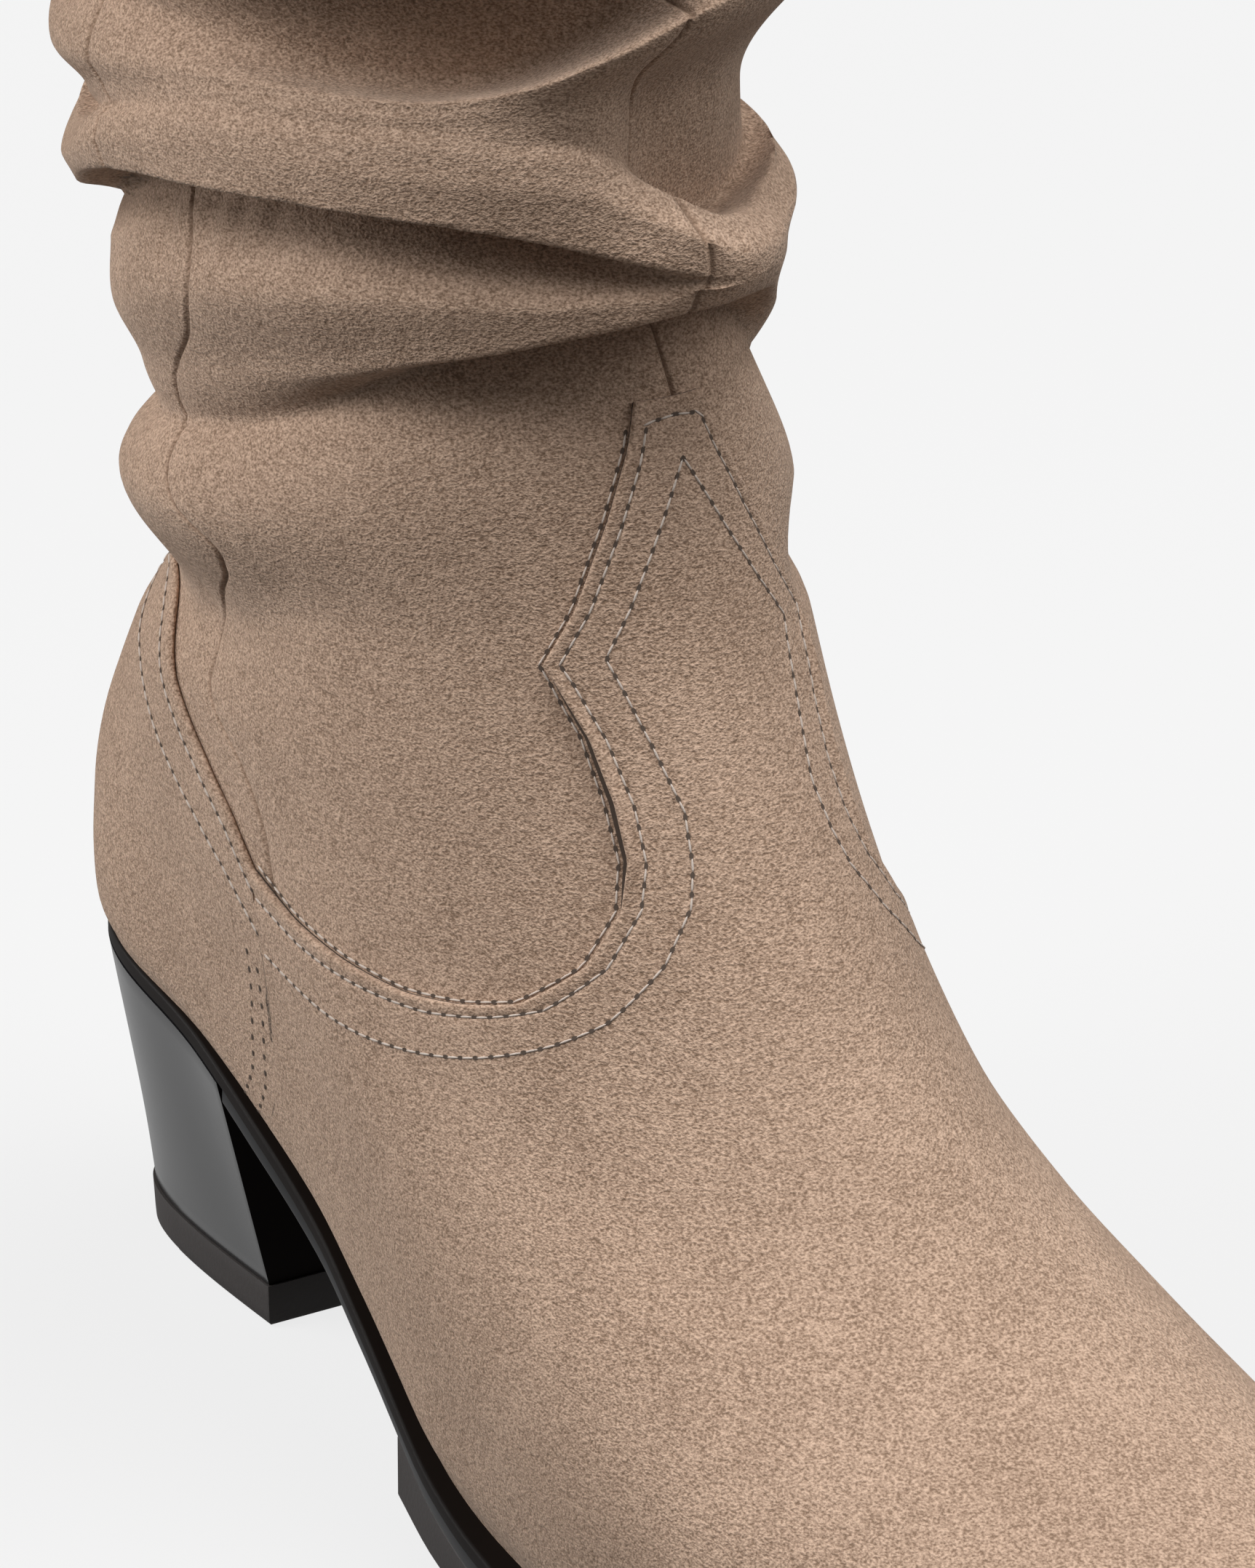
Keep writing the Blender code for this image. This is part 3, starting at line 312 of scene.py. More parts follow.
# Sole stack, the welt's ledge as distance along the foot and width
WELT_LEDGE = ((-12, 0.9), (30, 1.3), (60, 2.6), (100, 3.6), (112, 3.6), (126, 4.2), (150, 5.3), (185, 4.6),
              (230, 3.6), (276, 3.6))
WELT_DROP = 0.5              # under the feather line
WELT_THICK = 2.4
WELT_CORNER = 0.5
SOLE_THICK = 2.85
SOLE_CORNER = 0.4
SOLE_INSET = 0.7
SOLE_REAR = 49.3
TREAD_START = 101.0
TREAD_INSET = 0.9
TREAD_LEAST = 1.2            # least thickness
TREAD_FLAT = (122.0, 206.0)
TOE_SPRING = 5.6
TREAD_NOSE = 3.4
NOSE_CURVE = 1.6
SPRING_CURVE = 1.7
INSOLE_THICK = 2.2
INSOLE_INSET = 3.9
INSOLE_CORNER = 0.6
FIT_GAP = 0.05

# Heel
BREAST_TOP = 49.2
BREAST_FOOT = 44.2
BREAST_FACING = 0.85         # faces that look this far forward are the breast
HEEL_FOOT_BACK = 1.8
HEEL_FOOT_HALF = 22.8
HEEL_FULLNESS = 1.0          # swell of the heel's back half way down
HEEL_CURVE = (1.15, 3.2, 0.55)    # how its outline rounds at the foot
HEEL_CORNER = 0.5
LIFT_THICK = 6.0
LIFT_CORNER = 0.25
# Rings of the lift: height, how far it stands out
LIFT_RINGS = ((LIFT_THICK, 0.3), (4.0, 0.2), (2.0, 0.1), (0.6, 0.0), (0.0, -0.5))

WIDTH_ANGLES = np.radians(WIDTH_BEARINGS)
LOOP_TABLE = np.array(LOOPS)
VAMP_TABLE = np.array(VAMP_LINES)
COUNTER_TABLE = np.array(COUNTER_EDGE)

# Camera in the photo's place: what it looks at on the last, its direction, distance and lens
CAMERA_TARGET = (99.0, -2.2, 93.0)
CAMERA_TURN = 31.8
CAMERA_RISE = 24.0
CAMERA_DISTANCE = 1500.0
CAMERA_LENS = 278.0

# Stage, in metres
FLOOR_REACH = 60.0           # each way
FLOOR_DROP = 0.0002          # under the boot
SIGHT = 100.0                # how far the camera sees
# Broad lights: name, spread in degrees, where they stand
BROAD_LIGHTS = (("key", 30, (0.10, 0.20, 1.0)), ("fill", 26, (-0.30, -0.75, 1.0)),
                ("rim", 40, (0.6, 0.6, 0.8)))
# Soft lights: name, place, aim
SOFT_LIGHTS = (("top", (-0.12, -0.45, 0.60), (-0.07, 0.0, 0.18)),
               ("side", (-0.55, -0.50, 0.10), (-0.10, 0.0, 0.04)))
SOFT_SIZE = 0.3
SOFT_SPREAD = 45             # degrees


def length_prop(name, description, default):
    """Length in metres with a tenth of a millimetre showing."""
    return FloatProperty(name=name, description=description, default=default, unit="LENGTH", precision=5)


def colour_prop(name, description, default):
    """Linear colour."""
    return FloatVectorProperty(name=name, description=description, default=default, subtype="COLOR",
                               size=3, min=0.0, max=1.0)


def strength_prop(name, description, default, unit="NONE"):
    """Strength of a light, or its power in watts."""
    return FloatProperty(name=name, description=description, default=default, min=0.0, unit=unit)


class BootSizes(bpy.types.PropertyGroup):
    """Sizes of the suede work."""

    overlay_face: length_prop("Overlay face", "Face of vamp and counter over the nominal skin", 0.0008)
    overlay_back: length_prop("Overlay back", "Back of vamp and counter from the nominal skin", -0.0003)
    shaft_face: length_prop("Shaft face", "Face of the shaft from the nominal skin", -0.00035)
    wall: length_prop("Wall", "Suede and lining together", 0.0022)
    edge_lift: length_prop("Edge lift", "How far the vamp's edge gapes beside the ankle", 0.0007)
    seam_depth: length_prop("Seam depth", "Depth of the shaft's seams", 0.0005)
    stitch_pitch: length_prop("Stitch pitch", "From one stitch to the next", 0.0024)
    stitch_length: length_prop("Stitch length", "Thread that shows in each stitch", 0.0019)
    thread_width: length_prop("Thread width", "Width of the sewing thread", 0.00032)
    hole_width: length_prop("Hole width", "Width of the needle holes", 0.00062)
    channel: length_prop("Stitch channel", "How deep a stitch row pulls the suede in", 0.0002)


class BootColours(bpy.types.PropertyGroup):
    """Colours of the boot."""

    suede: colour_prop("Suede", "Suede with its nap brushed up", (0.60, 0.425, 0.315))
    suede_deep: colour_prop("Suede, deep", "Suede with its nap laid over", (0.235, 0.152, 0.102))
    thread: colour_prop("Thread", "Sewing thread", (0.57, 0.49, 0.43))
    lining: colour_prop("Lining", "Lining of the shaft", (0.50, 0.40, 0.30))
    heel: colour_prop("Heel", "Lacquer of heel and sole edge", (0.010, 0.010, 0.011))
    edge: colour_prop("Welt", "Welt and its ledge", (0.007, 0.0045, 0.0035))
    rubber: colour_prop("Rubber", "Tread and top lift", (0.030, 0.024, 0.022))
    # Painted shade: the dark colour laid over the needle holes and the gap under the vamp's edge
    hole_shade: colour_prop("Hole", "Needle holes and the gap under the vamp's edge", (0.085, 0.06, 0.045))
    floor: colour_prop("Floor", "Studio floor", (0.08, 0.08, 0.08))


class BootStage(bpy.types.PropertyGroup):
    """Studio light."""

    sky: strength_prop("Sky", "Even light all round", 0.17)
    key: strength_prop("Key", "Broad light overhead", 2.0)
    fill: strength_prop("Fill", "Broad light from the left", 0.95)
    rim: strength_prop("Rim", "Broad light from the right", 1.1)
    top: strength_prop("Top", "Soft light over the folds", 0.165, "POWER")
    side: strength_prop("Side", "Soft light beside the heel", 0.18, "POWER")
    mirrored: strength_prop("Mirrored glow", "Share of the floor's glow that lacquer mirrors", 0.36)
    glow: strength_prop("Floor glow", "Light that the pale floor gives off", 0.80)


def between(t, run, low, high, slope_low, slope_high):
    """Smooth value between two knots with their slopes, t from 0 to 1."""
    a = (2 * t ** 3 - 3 * t ** 2 + 1) * low + (t ** 3 - 2 * t ** 2 + t) * run * slope_low
    b = (3 * t ** 2 - 2 * t ** 3) * high + (t ** 3 - t ** 2) * run * slope_high
    return a + b


def slopes(step, rise):
    """Slopes at the inner knots of a table."""
    return (step[1:] * rise[..., :-1] + step[:-1] * rise[..., 1:]) / (step[1:] + step[:-1])


def curve(points, x):
    """Smooth curve through a short table of pairs."""
    table = np.asarray(points, dtype=float)
    xs = table[:, 0]
    ys = table[:, 1]
    step = np.diff(xs)
    rise = np.diff(ys) / step
    slope = np.concatenate(([rise[0]], slopes(step, rise), [rise[-1]]))
    x = np.clip(np.asarray(x, dtype=float), xs[0], xs[-1])
    i = np.clip(np.searchsorted(xs, x, side="right") - 1, 0, len(xs) - 2)
    t = (x - xs[i]) / step[i]
    return between(t, step[i], ys[i], ys[i + 1], slope[i], slope[i + 1])


def around(rows, column, bearing):
    """Smooth value round the shaft from rows of bearing, height and push."""
    table = sorted((row[0], row[column]) for row in rows)
    before = [(b - 360, value) for b, value in table]
    after = [(b + 360, value) for b, value in table]
    return curve(before + table + after, bearing)


def loop_row(v):
    """Loop sizes between the rows of the table."""
    last = len(LOOP_TABLE) - 1
    v = np.clip(v, 0, last)
    i = np.clip(np.floor(v).astype(int), 0, last - 1)
    t = (v - i)[..., None]
    b = LOOP_TABLE[i]
    c = LOOP_TABLE[i + 1]
    a = np.where((i > 0)[..., None], LOOP_TABLE[np.maximum(i - 1, 0)], 2 * b - c)
    d = np.where((i < last - 1)[..., None], LOOP_TABLE[np.minimum(i + 2, last)], 2 * c - b)
    bend = 2 * a - 5 * b + 4 * c - d
    twist = 3 * b - a - 3 * c + d
    row = 0.5 * (2 * b + (c - a) * t + bend * t ** 2 + twist * t ** 3)
    return {name: row[..., k] for k, name in enumerate(LOOP_COLUMNS)}


def half_width(row, turn):
    """Half width of a loop at a turn measured from the back."""
    ys = np.stack([row["w%d" % b] for b in WIDTH_BEARINGS], axis=-1)
    step = np.diff(WIDTH_ANGLES)
    rise = np.diff(ys, axis=-1) / step
    slope = np.zeros_like(ys)
    slope[..., 1:-1] = slopes(step, rise)
    i = np.clip(np.searchsorted(WIDTH_ANGLES, turn, side="right") - 1, 0, len(WIDTH_ANGLES) - 2)
    t = (turn - WIDTH_ANGLES[i]) / step[i]

    def pick(array, index):
        return np.take_along_axis(array, index[..., None], -1)[..., 0]

    wide = between(t, step[i], pick(ys, i), pick(ys, i + 1), pick(slope, i), pick(slope, i + 1))
    return wide * np.sin(turn)


def paired(v, bearing):
    """Loop numbers and bearings as arrays of one shape."""
    return np.broadcast_arrays(np.asarray(v, dtype=float), np.asarray(bearing, dtype=float))


def bare(v, bearing):
    """The last and a plain shaft, before any fold."""
    v, bearing = paired(v, bearing)
    row = loop_row(v)
    turn = np.radians(180 - np.abs(bearing))
    share = (1 - np.cos(turn)) / 2
    x = row["back_x"] + (row["front_x"] - row["back_x"]) * share
    first = LOOPS[0]
    straight = first[1] + (first[3] - first[1]) * np.clip((x - first[0]) / (first[2] - first[0]), 0, 1)
    dip = straight - curve(FEATHER, x)
    z = row["back_z"] + (row["front_z"] - row["back_z"]) * share - row["sag"] * dip
    wide = half_width(row, turn)
    ramp = np.clip((turn - INNER_FROM) / INNER_RUN, 0, 1)
    ramp = ramp * ramp * (3 - 2 * ramp)
    waist = row["waist_in"] * np.exp(-((np.degrees(turn) - WAIST_BEARING) / WAIST_SPREAD) ** 2)
    inner = wide * (1 + (row["inner_share"] - 1) * ramp) - waist
    inset = curve(FEATHER_IN, x) * curve(FEATHER_FADE, v)
    y = np.where(bearing > 0, inner - inset, inset - wide) + curve(SWING, x)
    return np.stack([x, y, z], axis=-1)


def normal(surface, v, bearing):
    """Outward direction of a surface of loops."""
    v, bearing = paired(v, bearing)
    top = len(LOOPS) - 1
    above = np.minimum(v + LOOP_STEP, top)
    below = np.maximum(v - LOOP_STEP, 0)
    along = surface(above, bearing) - surface(below, bearing)
    across = surface(v, bearing + BEARING_STEP) - surface(v, bearing - BEARING_STEP)
    n = np.cross(across, along)
    return n / np.maximum(np.linalg.norm(n, axis=-1, keepdims=True), 1e-9)


def fold_move(z, bearing):
    """Push and drop of the slouched shaft from the plain one, line by line and then at the puckers."""
    out = np.zeros(np.broadcast(z, bearing).shape)
    down = np.zeros_like(out)
    low = None
    for _, sharp, hang, rows in FOLD_LINES:
        push = around(rows, 2, bearing)
        drop = abs(hang) * np.clip(push * np.sign(hang) / FULL_FOLD, 0, 1)
        height = around(rows, 1, bearing) + drop
        if low is None:
            out += push
        else:
            height = np.maximum(height, low[1] + LINE_GAP)
            t = np.clip((z - low[1]) / (height - low[1]), 0, 1)
            ease = 3 * t ** 2 - 2 * t ** 3
            out += (push - low[2]) * (ease + low[0] * (t ** 3 - 2 * t ** 2 + t) + sharp * (t ** 3 - t ** 2))
            down += (drop - low[3]) * ease
        low = (sharp, height, push, drop)
    for middle, height, wide, tall, push in PUCKERS:
        out += push * np.exp(-((bearing - middle) / wide) ** 2 - ((z - height) / tall) ** 2)
    return out, down


def level_side(v, bearing):
    """Level outward direction of the plain shaft."""
    side = normal(bare, v, bearing)
    side[..., 2] = 0
    return side / np.maximum(np.linalg.norm(side, axis=-1, keepdims=True), 1e-9)


def folded(v, bearing):
    """The boot's nominal skin with its slouch folds."""
    v, bearing = paired(v, bearing)
    p = bare(v, bearing)
    push, drop = fold_move(p[..., 2], bearing)
    p = p + level_side(v, bearing) * push[..., None]
    p[..., 2] -= drop
    return p


def lining(v, bearing, depth):
    """The lining, a level depth inside the deepest crease near each height."""
    v, bearing = paired(v, bearing)
    p = bare(v, bearing)
    near = [fold_move(p[..., 2] + lift, bearing)[0] for lift in LINING_REACH]
    push = np.min(near, axis=0)
    return p + level_side(v, bearing) * (np.where(push > 0, LINING_SHARE * push, push) - depth)[..., None]


def skin(v, bearing, out, surface=folded):
    """A face of the boot at a depth from the nominal skin."""
    out = np.asarray(out, dtype=float)
    return surface(v, bearing) + normal(surface, v, bearing) * out[..., None]


def feather(x):
    """Height of the feather line along the foot."""
    return curve(FEATHER, x)


def placed(points):
    """From millimetres on the last to metres in the frame."""
    return (np.asarray(points) - SHIFT) * MM


def unrolled(points, lining_from=None, seam=None):
    """Grid of points as a bmesh with its seams closed; later rows may take the second material."""
    rows, cols = points.shape[:2]
    where = placed(points)
    bm = bmesh.new()
    bmesh.ops.create_grid(bm, x_segments=cols - 1, y_segments=rows - 1, size=1.0)
    low = np.array([min(v.co.x for v in bm.verts), min(v.co.y for v in bm.verts)])
    high = np.array([max(v.co.x for v in bm.verts), max(v.co.y for v in bm.verts)])
    row_of = {}
    # The seam layer carries painted shadow along the shaft's seams
    seam_shadow_layer = bm.verts.layers.float.new("seam")
    for vert in bm.verts:
        j = round((vert.co.x - low[0]) / (high[0] - low[0]) * (cols - 1))
        i = round((vert.co.y - low[1]) / (high[1] - low[1]) * (rows - 1))
        vert.co = where[i, j]
        row_of[vert] = i
        if seam is not None and i < lining_from:
            vert[seam_shadow_layer] = seam[j]
    if lining_from is not None:
        for face in bm.faces:
            face.material_index = int(min(row_of[v] for v in face.verts) >= lining_from)
    bmesh.ops.remove_doubles(bm, verts=bm.verts, dist=MERGE_LENGTH)
    bmesh.ops.recalc_face_normals(bm, faces=bm.faces)
    return bm


def piece(name, bm, materials, nodes=(), sharp=None):
    """Finished piece on the boot's body, standing for its solids."""
    for face in bm.faces:
        face.smooth = True
    mesh = bpy.data.meshes.new(name)
    bm.to_mesh(mesh)
    bm.free()
    if sharp:
        mesh.set_sharp_from_angle(angle=math.radians(sharp))
    for material in materials:
        mesh.materials.append(material)
    obj = bpy.data.objects.new(name, mesh)
    bpy.context.scene.collection.objects.link(obj)
    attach(obj, "root")
    if nodes:
        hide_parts(*nodes)
    return obj


def link(tree, source, target):
    """Link from one socket to another."""
    tree.links.new(source, target)


def noise(tree, coords, scale, detail, roughness=0.55, distortion=0.0):
    """Noise texture on the given coordinates."""
    node = tree.nodes.new("ShaderNodeTexNoise")
    node.inputs["Scale"].default_value = scale
    node.inputs["Detail"].default_value = detail
    node.inputs["Roughness"].default_value = roughness
    node.inputs["Distortion"].default_value = distortion
    link(tree, coords, node.inputs["Vector"])
    return node.outputs["Fac"]


def math_node(tree, operation, a, b):
    """Math node on two sockets or numbers."""
    node = tree.nodes.new("ShaderNodeMath")
    node.operation = operation
    for socket, value in zip(node.inputs, (a, b)):
        if isinstance(value, (int, float)):
            socket.default_value = value
        else:
            link(tree, value, socket)
    return node.outputs[0]


def nap_group():
    """Suede nap: speckle, brushed patches and the height of the pile."""
    group = bpy.data.node_groups.get("suede nap")
    if group:
        return group
    group = bpy.data.node_groups.new("suede nap", "ShaderNodeTree")
    group.interface.new_socket("Vector", in_out="INPUT", socket_type="NodeSocketVector")
    for name, value in (("Speckle", 0.5), ("Brushing", 0.5)):
        socket = group.interface.new_socket(name, in_out="INPUT", socket_type="NodeSocketFloat")
        socket.default_value = value
    group.interface.new_socket("Tone", in_out="OUTPUT", socket_type="NodeSocketFloat")
    group.interface.new_socket("Height", in_out="OUTPUT", socket_type="NodeSocketFloat")
    source = group.nodes.new("NodeGroupInput")
    sink = group.nodes.new("NodeGroupOutput")
    coords = source.outputs["Vector"]
    fibre = group.nodes.new("ShaderNodeMapping")
    fibre.inputs["Scale"].default_value = (0.75, 0.75, 1.15)
    link(group, coords, fibre.inputs["Vector"])
    fine = noise(group, fibre.outputs["Vector"], scale=3400.0, detail=1.0, roughness=0.5)
    grain = noise(group, fibre.outputs["Vector"], scale=1500.0, detail=2.0, roughness=0.5)
    patch = noise(group, coords, scale=32.0, detail=3.0, roughness=0.5, distortion=0.6)
    streak = noise(group, coords, scale=150.0, detail=3.0, distortion=1.2)
    speck = math_node(group, "ADD", math_node(group, "MULTIPLY", fine, 0.7),
                      math_node(group, "MULTIPLY", grain, 0.3))
    brushed = math_node(group, "ADD", math_node(group, "MULTIPLY", patch, 0.6),
                        math_node(group, "MULTIPLY", streak, 0.4))
    parts = []
    for value, share in ((speck, "Speckle"), (brushed, "Brushing")):
        parts.append(math_node(group, "MULTIPLY", math_node(group, "SUBTRACT", value, 0.5),
                               source.outputs[share]))
    tone = math_node(group, "ADD", math_node(group, "ADD", *parts), 0.5)
    link(group, tone, sink.inputs["Tone"])
    height = math_node(group, "ADD", fine, math_node(group, "MULTIPLY", grain, 1.4))
    link(group, height, sink.inputs["Height"])
    return group


def new_material(name, colour, roughness):
    """Principled material and its shader node."""
    material = bpy.data.materials.new(name)
    material.use_nodes = True
    shader = material.node_tree.nodes["Principled BSDF"]
    shader.inputs["Base Color"].default_value = (*colour, 1)
    shader.inputs["Roughness"].default_value = roughness
    return material, shader


def object_coords(tree):
    """Places on the boot itself."""
    return tree.nodes.new("ShaderNodeTexCoord").outputs["Object"]


def two_tone(tree, factor, low, high):
    """Colour between two tones."""
    mix = tree.nodes.new("ShaderNodeMix")
    mix.data_type = "RGBA"
    mix.inputs["A"].default_value = (*low, 1)
    mix.inputs["B"].default_value = (*high, 1)
    link(tree, factor, mix.inputs["Factor"])
    return mix.outputs["Result"]


def bump(tree, shader, height, strength, distance):
    """Bump on the shader's normal."""
    node = tree.nodes.new("ShaderNodeBump")
    node.inputs["Strength"].default_value = strength
    node.inputs["Distance"].default_value = distance
    link(tree, height, node.inputs["Height"])
    link(tree, node.outputs["Normal"], shader.inputs["Normal"])


def suede():
    """Taupe suede with a short open nap, darkened by painted shadow along the shaft's seams."""
    material = bpy.data.materials.get("taupe nap suede")
    if material:
        return material
    colours = bpy.context.scene.boot_colours
    material, shader = new_material("taupe nap suede", colours.suede, roughness=0.95)
    tree = material.node_tree
    nap = tree.nodes.new("ShaderNodeGroup")
    nap.node_tree = nap_group()
    nap.inputs["Speckle"].default_value = 3.4
    nap.inputs["Brushing"].default_value = 0.8
    link(tree, object_coords(tree), nap.inputs["Vector"])
    # Painted seam shadow: the seam attribute darkens the nap's tone along the seams
    seam = tree.nodes.new("ShaderNodeAttribute")
    seam.attribute_name = "seam"
    painted_seam_shadow = math_node(tree, "SUBTRACT", 1.0, math_node(tree, "MULTIPLY", seam.outputs["Fac"], 0.8))
    tone = math_node(tree, "MULTIPLY", nap.outputs["Tone"], painted_seam_shadow)
    link(tree, two_tone(tree, tone, colours.suede_deep, colours.suede), shader.inputs["Base Color"])
    shader.inputs["Specular IOR Level"].default_value = 0.15
    shader.inputs["Sheen Weight"].default_value = 0.25
    shader.inputs["Sheen Roughness"].default_value = 0.45
    shader.inputs["Sheen Tint"].default_value = (0.9, 0.78, 0.68, 1)
    bump(tree, shader, nap.outputs["Height"], strength=0.55, distance=0.0004)
    return material


def plain_nap(name, colour, roughness, scale, strength, distance=0.0002, shine=0.5):
    """Material of one colour with a light grain."""
    material = bpy.data.materials.get(name)
    if material:
        return material
    material, shader = new_material(name, colour, roughness)
    tree = material.node_tree
    coords = object_coords(tree)
    grain = noise(tree, coords, scale, detail=3.0)
    tone = math_node(tree, "ADD", math_node(tree, "MULTIPLY", grain, 0.8), 0.1)
    low = [0.78 * c for c in colour]
    high = [min(1.0, 1.2 * c) for c in colour]
    link(tree, two_tone(tree, tone, low, high), shader.inputs["Base Color"])
    bump(tree, shader, grain, strength, distance)
    shader.inputs["Specular IOR Level"].default_value = shine
    return material


def gloss(name, colour, roughness, index=1.7, coat=0.6):
    """Black lacquer with a faint haze."""
    material = bpy.data.materials.get(name)
    if material:
        return material
    material, shader = new_material(name, colour, roughness)
    tree = material.node_tree
    coords = object_coords(tree)
    haze = noise(tree, coords, scale=120.0, detail=3.0)
    rough = math_node(tree, "ADD", math_node(tree, "MULTIPLY", haze, 0.10), roughness - 0.05)
    link(tree, rough, shader.inputs["Roughness"])
    shader.inputs["IOR"].default_value = index
    shader.inputs["Coat Weight"].default_value = coat
    shader.inputs["Coat Roughness"].default_value = 0.18
    ripple = noise(tree, coords, scale=900.0, detail=2.0)
    bump(tree, shader, ripple, strength=0.04, distance=0.0002)
    return material


def loops_at(spans):
    """Loop numbers at heights up the back, in spans."""
    backs = LOOP_TABLE[:, 1]
    heights = np.concatenate([np.arange(*span) for span in spans])
    return np.interp(heights, backs, np.arange(len(backs)))


def seam_distance(columns):
    """Degrees from each column to the nearest seam."""
    return np.min(np.abs(columns[:, None] - np.array(SEAMS)), axis=1)


def shaft_columns():
    """Bearings round the upper, close together at the seams."""
    plain = np.arange(-180.0, 180.1, COLUMN_STEP)
    near = np.outer((-1, 1), SEAM_NEAR).ravel()
    beside = np.add.outer(SEAMS, near).ravel()
    return np.unique(np.concatenate((plain[seam_distance(plain) > SEAM_CLEAR], beside, SEAMS)))


def seam_bend(v, column):
    """Bearing of a grid column, bent to follow the seams."""
    outer = (curve(SIDE_SEAM, v) + SEAM_COLUMN) * np.exp(-((column + SEAM_COLUMN) / SEAM_REACH) ** 2)
    inner = (curve(INNER_SEAM, v) - SEAM_COLUMN) * np.exp(-((column - SEAM_COLUMN) / SEAM_REACH) ** 2)
    front = curve(FRONT_SEAM, v) * np.exp(-(column / FRONT_REACH) ** 2)
    return column + outer + inner + front


def seam_groove(column, depth):
    """Depth of the seams across the columns: a thin line in a shallow dip."""
    groove = np.zeros_like(column)
    for seam in SEAMS:
        run = (column - seam) * DEGREE_LENGTH
        dip = SEAM_DIP_SHARE * np.exp(-(run / SEAM_DIP) ** 2)
        groove -= depth * (np.exp(-(run / SEAM_LINE) ** 2) + dip)
    return groove


class BOOT_OT_upper(bpy.types.Operator):
    """Suede shaft and quarters with their lining, one hollow sleeve"""

    bl_idname = "boot.upper"
    bl_label = "Upper"

    def execute(self, context):
        sizes = context.scene.boot_sizes
        rows = np.concatenate((np.arange(*FOOT_SPAN), loops_at(SHAFT_SPANS)))[:, None]
        columns = shaft_columns()[None, :]
        face = sizes.shaft_face / MM
        wall = sizes.wall / MM
        bearing = seam_bend(rows, columns)
        depth = face + seam_groove(columns, sizes.seam_depth / MM) + 0 * rows
        outer = skin(rows, bearing, depth)
        top = len(LOOPS) - 1.0
        lip = []
        for turn in np.linspace(0, math.pi, 7)[1:-1]:
            inset = wall * (1 - math.cos(turn)) / 2 - face
            ring = lining(np.full_like(columns, top), columns, np.full_like(columns, inset))
            ring[..., 2] += 0.5 * wall * math.sin(turn)
            lip.append(ring)
        down = np.concatenate((loops_at(LINING_SPANS), np.linspace(LINING_FOOT, 0, 9)))[:, None]
        inner = lining(down, columns, (wall - face) + 0 * (columns + down))
        points = np.concatenate((outer, *lip, inner, outer[:1]))
        # Painted shadow along the seams, strongest on them and fading over SEAM_SHADE degrees
        painted_seam_shadow = np.exp(-(seam_distance(columns[0]) / SEAM_SHADE) ** 2)
        # Suede runs up to the crest of the lip
        bm = unrolled(points, lining_from=len(rows) + 2, seam=painted_seam_shadow)
        colours = context.scene.boot_colours
        inner_leather = plain_nap("lining", colours.lining, roughness=0.8, scale=700.0, strength=0.3)
        piece("shaft_suede", bm, (suede(), inner_leather), ("upper",))
        return {"FINISHED"}


def even_lines(table, count):
    """Columns of a table at even steps along its bearings and loops, and the table's row at each step."""
    fine = np.linspace(0, len(table) - 1, 60 * len(table))
    lines = [np.interp(fine, np.arange(len(table)), column) for column in table.T]
    run = np.linalg.norm(np.diff(bare(lines[1], -lines[0]), axis=0), axis=1)
    run = np.concatenate(([0], np.cumsum(run)))
    at = np.linspace(0, run[-1], count)
    return [np.interp(at, run, line) for line in lines + [fine]]


def band_point(lines, share):
    """Bearing and loop between the vamp's edge, at 0, and its inner row, at 1."""
    bearing = lines[0] + (lines[2] - lines[0]) * share
    loop = lines[1] + (lines[3] - lines[1]) * share
    return bearing, loop


def edge_gape(step):
    """How far the vamp's edge stands open along its rows, most beside the ankle."""
    return np.exp(-((step - GAPE_MIDDLE) / GAPE_REACH) ** 4)


def mirrored(rows, even):
    """Rows of the outside of the foot, continued over the inside."""
    sign = 1 if even else -1
    return np.concatenate((sign * rows[:, :0:-1], rows), axis=1)


def close(bm):
    """Fill the open ends of a piece and turn its faces outwards."""
    rim = [e for e in bm.edges if e.is_boundary]
    if rim:
        bmesh.ops.holes_fill(bm, edges=rim, sides=0)
    bmesh.ops.recalc_face_normals(bm, faces=bm.faces)


def overlay(name, node, level, bearing, out):
    """Piece of suede laid on the upper, from a grid that runs over its face, its edge and its back."""
    points = skin(level, bearing, out)
    points[..., 2] -= TUCK * (level <= 0)
    bm = unrolled(np.concatenate((points, points[:1])))
    close(bm)
    piece(name, bm, (suede(),), (node,), sharp=55)


